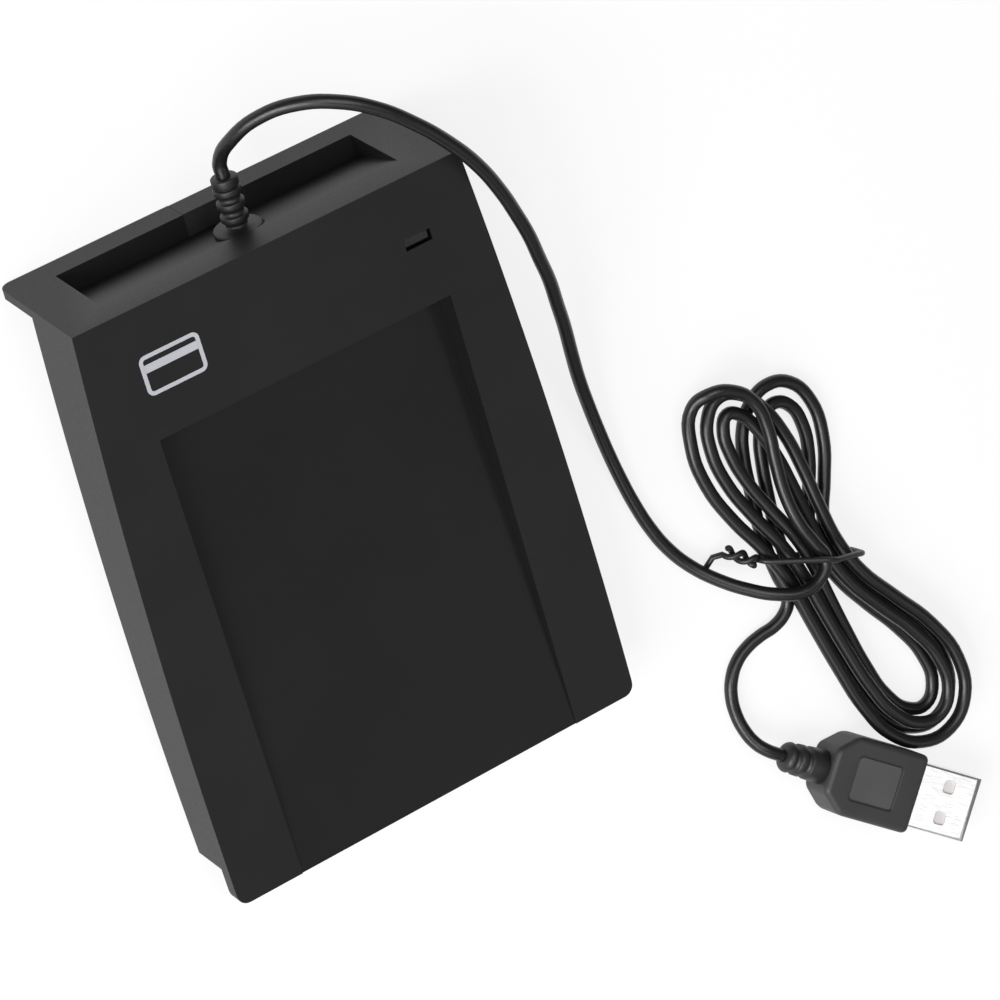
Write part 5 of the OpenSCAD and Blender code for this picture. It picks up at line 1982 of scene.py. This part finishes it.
    def shell_piece(self) -> bpy.types.Object:
        """Builds the metal shell with its windows and dresses it.

        Returns:
            The shell.
        """
        low_x, high_x = self.grip_end - self.shell_root, self.grip_end + self.shell
        body = self._tube("shell_piece", 0.0, (low_x, high_x), self.shell_soft)
        inside = self._tube("shell inside", self.sheet, (low_x - PAST, high_x + PAST), self.shell_inner)
        tools = [(Cut.TAKE, inside)]
        reach, across = self.shell_size[1] / 2 + PAST, (self.window, self.window)
        for side in (-1, 1):
            middle = (high_x - self.window_run - self.window / 2, side * self.window_side)
            loop = round_loop(middle, across, self.window_soft)
            tools.append((Cut.TAKE, self._tile("shell window", loop, -reach, reach)))
        tools += [(Cut.TAKE, self._lead_in(side)) for side in (-1, 1)]
        combine(body, tools)
        clean(body)
        round_edges(body, lambda p: self.shell_edge, steps=2, least_angle=40.0)
        dress(body, Finishes.SHELL)
        stand_for(body, "shell_steel", "plug_shell")
        return body

    def build(self) -> list[bpy.types.Object]:
        """Returns the plug's modelled pieces."""
        return [self.relief_piece(), self.grip_piece(), self.shell_piece()]


# What stays as solids


class Inside:
    """The base, the feet, the screws and what the housing holds, dressed as they are."""

    DRESSED: dict[str, Finish] = {
        "base_cover": Finishes.BASE, "light_pipe": Finishes.WINDOW, "rubber_feet": Finishes.FEET,
        "housing_screws": Finishes.ZINC, "circuit_board": Finishes.BOARD, "board_screws": Finishes.ZINC,
        "antenna_coil": Finishes.COIL, "controller_chip": Finishes.CHIP, "radio_chip": Finishes.CHIP,
        "chip_leads": Finishes.LEADS, "small_passives": Finishes.CERAMIC, "crystal": Finishes.CAN,
        "supply_capacitor": Finishes.SLEEVE, "buzzer": Finishes.SOUNDER, "status_lamps": Finishes.LAMP,
        "wire_socket": Finishes.NYLON, "wire_plug": Finishes.NYLON, "plug_tongue": Finishes.TONGUE,
        "plug_contacts": Finishes.CONTACT,
    }

    def dress(self) -> None:
        """Gives each solid its finish."""
        for node, finish in self.DRESSED.items():
            dress_node(node, finish)
            LOG.info("%s: dressed as %s", node, finish.name)


@dataclass
class InnerWires:
    """Four thin wires from the gland to the board's connector.

    Attributes:
        diameter: Diameter of a wire.
        pitch: Distance from wire to wire at the connector.
        column: Distance from wire to wire at the gland.
        connector_x: Place of the connector's middle to the side.
        board_end: Place of the board's rear end along the underside.
        board_top: Height of the board's top over the underside.
        socket_height: Height of the connector.
        plug_reach: How far the connector's plug stands out past the board.
        gland_inner: Distance from the rear face to the gland's inner end.
        spread: How much further each wire's bow reaches than the one before, as a share.
        places: Number of places along a wire.
    """

    diameter: float = 0.9
    pitch: float = 2.0
    column: float = 1.05
    connector_x: float = -14.0
    board_end: float = 90.5
    board_top: float = 4.9
    socket_height: float = 5.0
    plug_reach: float = 2.5
    gland_inner: float = 4.4
    spread: float = 0.7
    places: int = 33

    def route(self, k: int) -> list[Point]:
        """Lays one wire on a curve of four control places, given by x, along and above the underside.

        Args:
            k: The wire's number, from 0.

        Returns:
            Its places.
        """
        from_middle = (len(Finishes.WIRES) - 1) / 2 - k
        out = LINES.rear(LINES.gland_drop, self.gland_inner) - LINES.base_front
        a = np.array((0.0, out @ LINES.base_dir, out @ LINES.base_up + from_middle * self.column))
        d = np.array((self.connector_x + from_middle * self.pitch, self.board_end + self.plug_reach,
                      self.board_top + self.socket_height / 2))
        reach = a[1] - d[1]
        b, c = a - (0, reach, 0), d + (0, (1 + self.spread * k) * reach, 0)
        curve = [a * (1 - t) ** 3 + b * 3 * t * (1 - t) ** 2 + c * 3 * t * t * (1 - t) + d * t ** 3
                 for t in np.linspace(0, 1, self.places)]
        return [(x, *map(float, LINES.base(along, above))) for x, along, above in curve]

    def build(self) -> list[bpy.types.Object]:
        """Builds the wires and dresses them.

        Returns:
            The four wires.
        """
        made = []
        for k, finish in enumerate(Finishes.WIRES):
            wire = sweep(f"inner_wire_{k + 1}", self.route(k), self.diameter)
            dress(wire, finish)
            stand_for(wire, "wire_jacket", "inner_wires")
            made.append(wire)
        return made


# Studio


@dataclass(frozen=True)
class Lamp:
    """A soft square lamp.

    Attributes:
        name: Its name.
        offset: Its place from the point that it looks at, in metres.
        size: Its side in metres.
        power: Its power in watts.
    """

    name: str
    offset: Point
    size: float
    power: float

    def hang(self, target: Vector) -> None:
        """Adds the lamp to the scene.

        Args:
            target: The point that it looks at, in metres.
        """
        data = bpy.data.lights.new(self.name, "AREA")
        data.size, data.energy = self.size, self.power
        lamp = new_object(self.name, data)
        lamp.location = target + Vector(self.offset)
        lamp.rotation_euler = (target - lamp.location).to_track_quat("-Z", "Y").to_euler()


@dataclass
class Studio:
    """Camera, lamps, world and floor.

    Attributes:
        place: The camera's place.
        right: Direction to the picture's right.
        down: Direction down the picture.
        ahead: Direction of the view.
        focal: Focal length in pixels of the picture.
        frame_size: Pixels along the picture's side.
        sensor: Side of the camera's sensor.
        clip: Nearest and farthest distance that the camera sees, in metres.
        target: The point that the lamps look at.
        lamps: The lamps.
        even: Level of the world's light on the object.
        floor_half: Half the floor's side.
        floor_drop: How far the floor lies below the desk's height.
    """

    place: Point = (-249.02, 233.1, 681.99)
    right: Point = (0.82635, -0.32436, 0.46036)
    down: Point = (-0.43147, -0.89, 0.14742)
    ahead: Point = (0.3619, -0.32045, -0.87541)
    focal: float = 4582.0
    frame_size: float = 1000.0
    sensor: float = 36.0
    clip: Pair = (0.05, 20.0)
    target: Point = (30.0, -20.0, 5.0)
    lamps: tuple[Lamp, ...] = (Lamp("key", (-1.0, -0.05, 0.8), 0.7, 15.5),
                               Lamp("fill", (-0.7, -0.75, 0.8), 0.8, 3.5),
                               Lamp("top", (-0.15, 0.3, 1.22), 0.8, 6.6),
                               Lamp("front", (0.19, -0.47, 0.44), 0.3, 0.16),
                               Lamp("glint", (0.6, -0.63, 1.06), 0.28, 0.34))
    even: float = 0.16
    floor_half: float = 3000.0
    floor_drop: float = 0.2

    def camera(self) -> None:
        """Makes the scene's camera where the photograph was taken from."""
        data = bpy.data.cameras.new("camera")
        data.sensor_width, data.sensor_fit = self.sensor, "AUTO"
        data.lens = self.focal * self.sensor / self.frame_size
        data.clip_start, data.clip_end = self.clip
        made = new_object("camera", data)
        axes = [Vector(self.right), -Vector(self.down), -Vector(self.ahead)]
        turn = Matrix([[axes[c][r] for c in range(3)] for r in range(3)]).to_4x4()
        made.matrix_world = Matrix.Translation(Vector(self.place) * MM) @ turn
        bpy.context.scene.camera = made

    def light(self) -> None:
        """Adds the lamps and the world's even light, which is plain white to the camera."""
        for lamp in self.lamps:
            lamp.hang(Vector(self.target) * MM)
        world = bpy.data.worlds.new("studio")
        bpy.context.scene.world = world
        world.use_nodes = True
        n = Nodes(world.node_tree)
        path = n.add("LightPath").outputs
        seen = n.math("MAXIMUM", path["Is Camera Ray"], path["Is Transmission Ray"])
        level = n.math("ADD", self.even, n.math("MULTIPLY", seen, 1.0 - self.even))
        n.feed(world.node_tree.nodes["Background"], Color=WHITE, Strength=level)

    def floor(self) -> None:
        """Adds the pale floor."""
        half = self.floor_half
        made = mesh_object("floor", [(-half, -half, 0), (half, -half, 0), (half, half, 0), (-half, half, 0)],
                           [(0, 1, 2, 3)])
        made.location.z = -self.floor_drop * MM
        dress(made, Finishes.FLOOR)

    def look(self) -> None:
        """Sets the plain colour transform."""
        bpy.context.scene.view_settings.view_transform = "Standard"


def main() -> None:
    """Builds the object's classes in order."""
    logging.basicConfig(level=logging.INFO, format="%(name)s: %(message)s")
    studio = Studio()
    studio.look()
    studio.camera()
    cord = Cord()
    cord_piece = cord.build()
    gland = Gland().build()
    tie = Tie(cord).build()
    plug = Plug().build()
    cord.declare(cord_piece)
    TopCover().build()
    Pictogram().build()
    InnerWires().build()
    Inside().dress()
    studio.floor()
    studio.light()


if __name__ == "__main__":
    main()
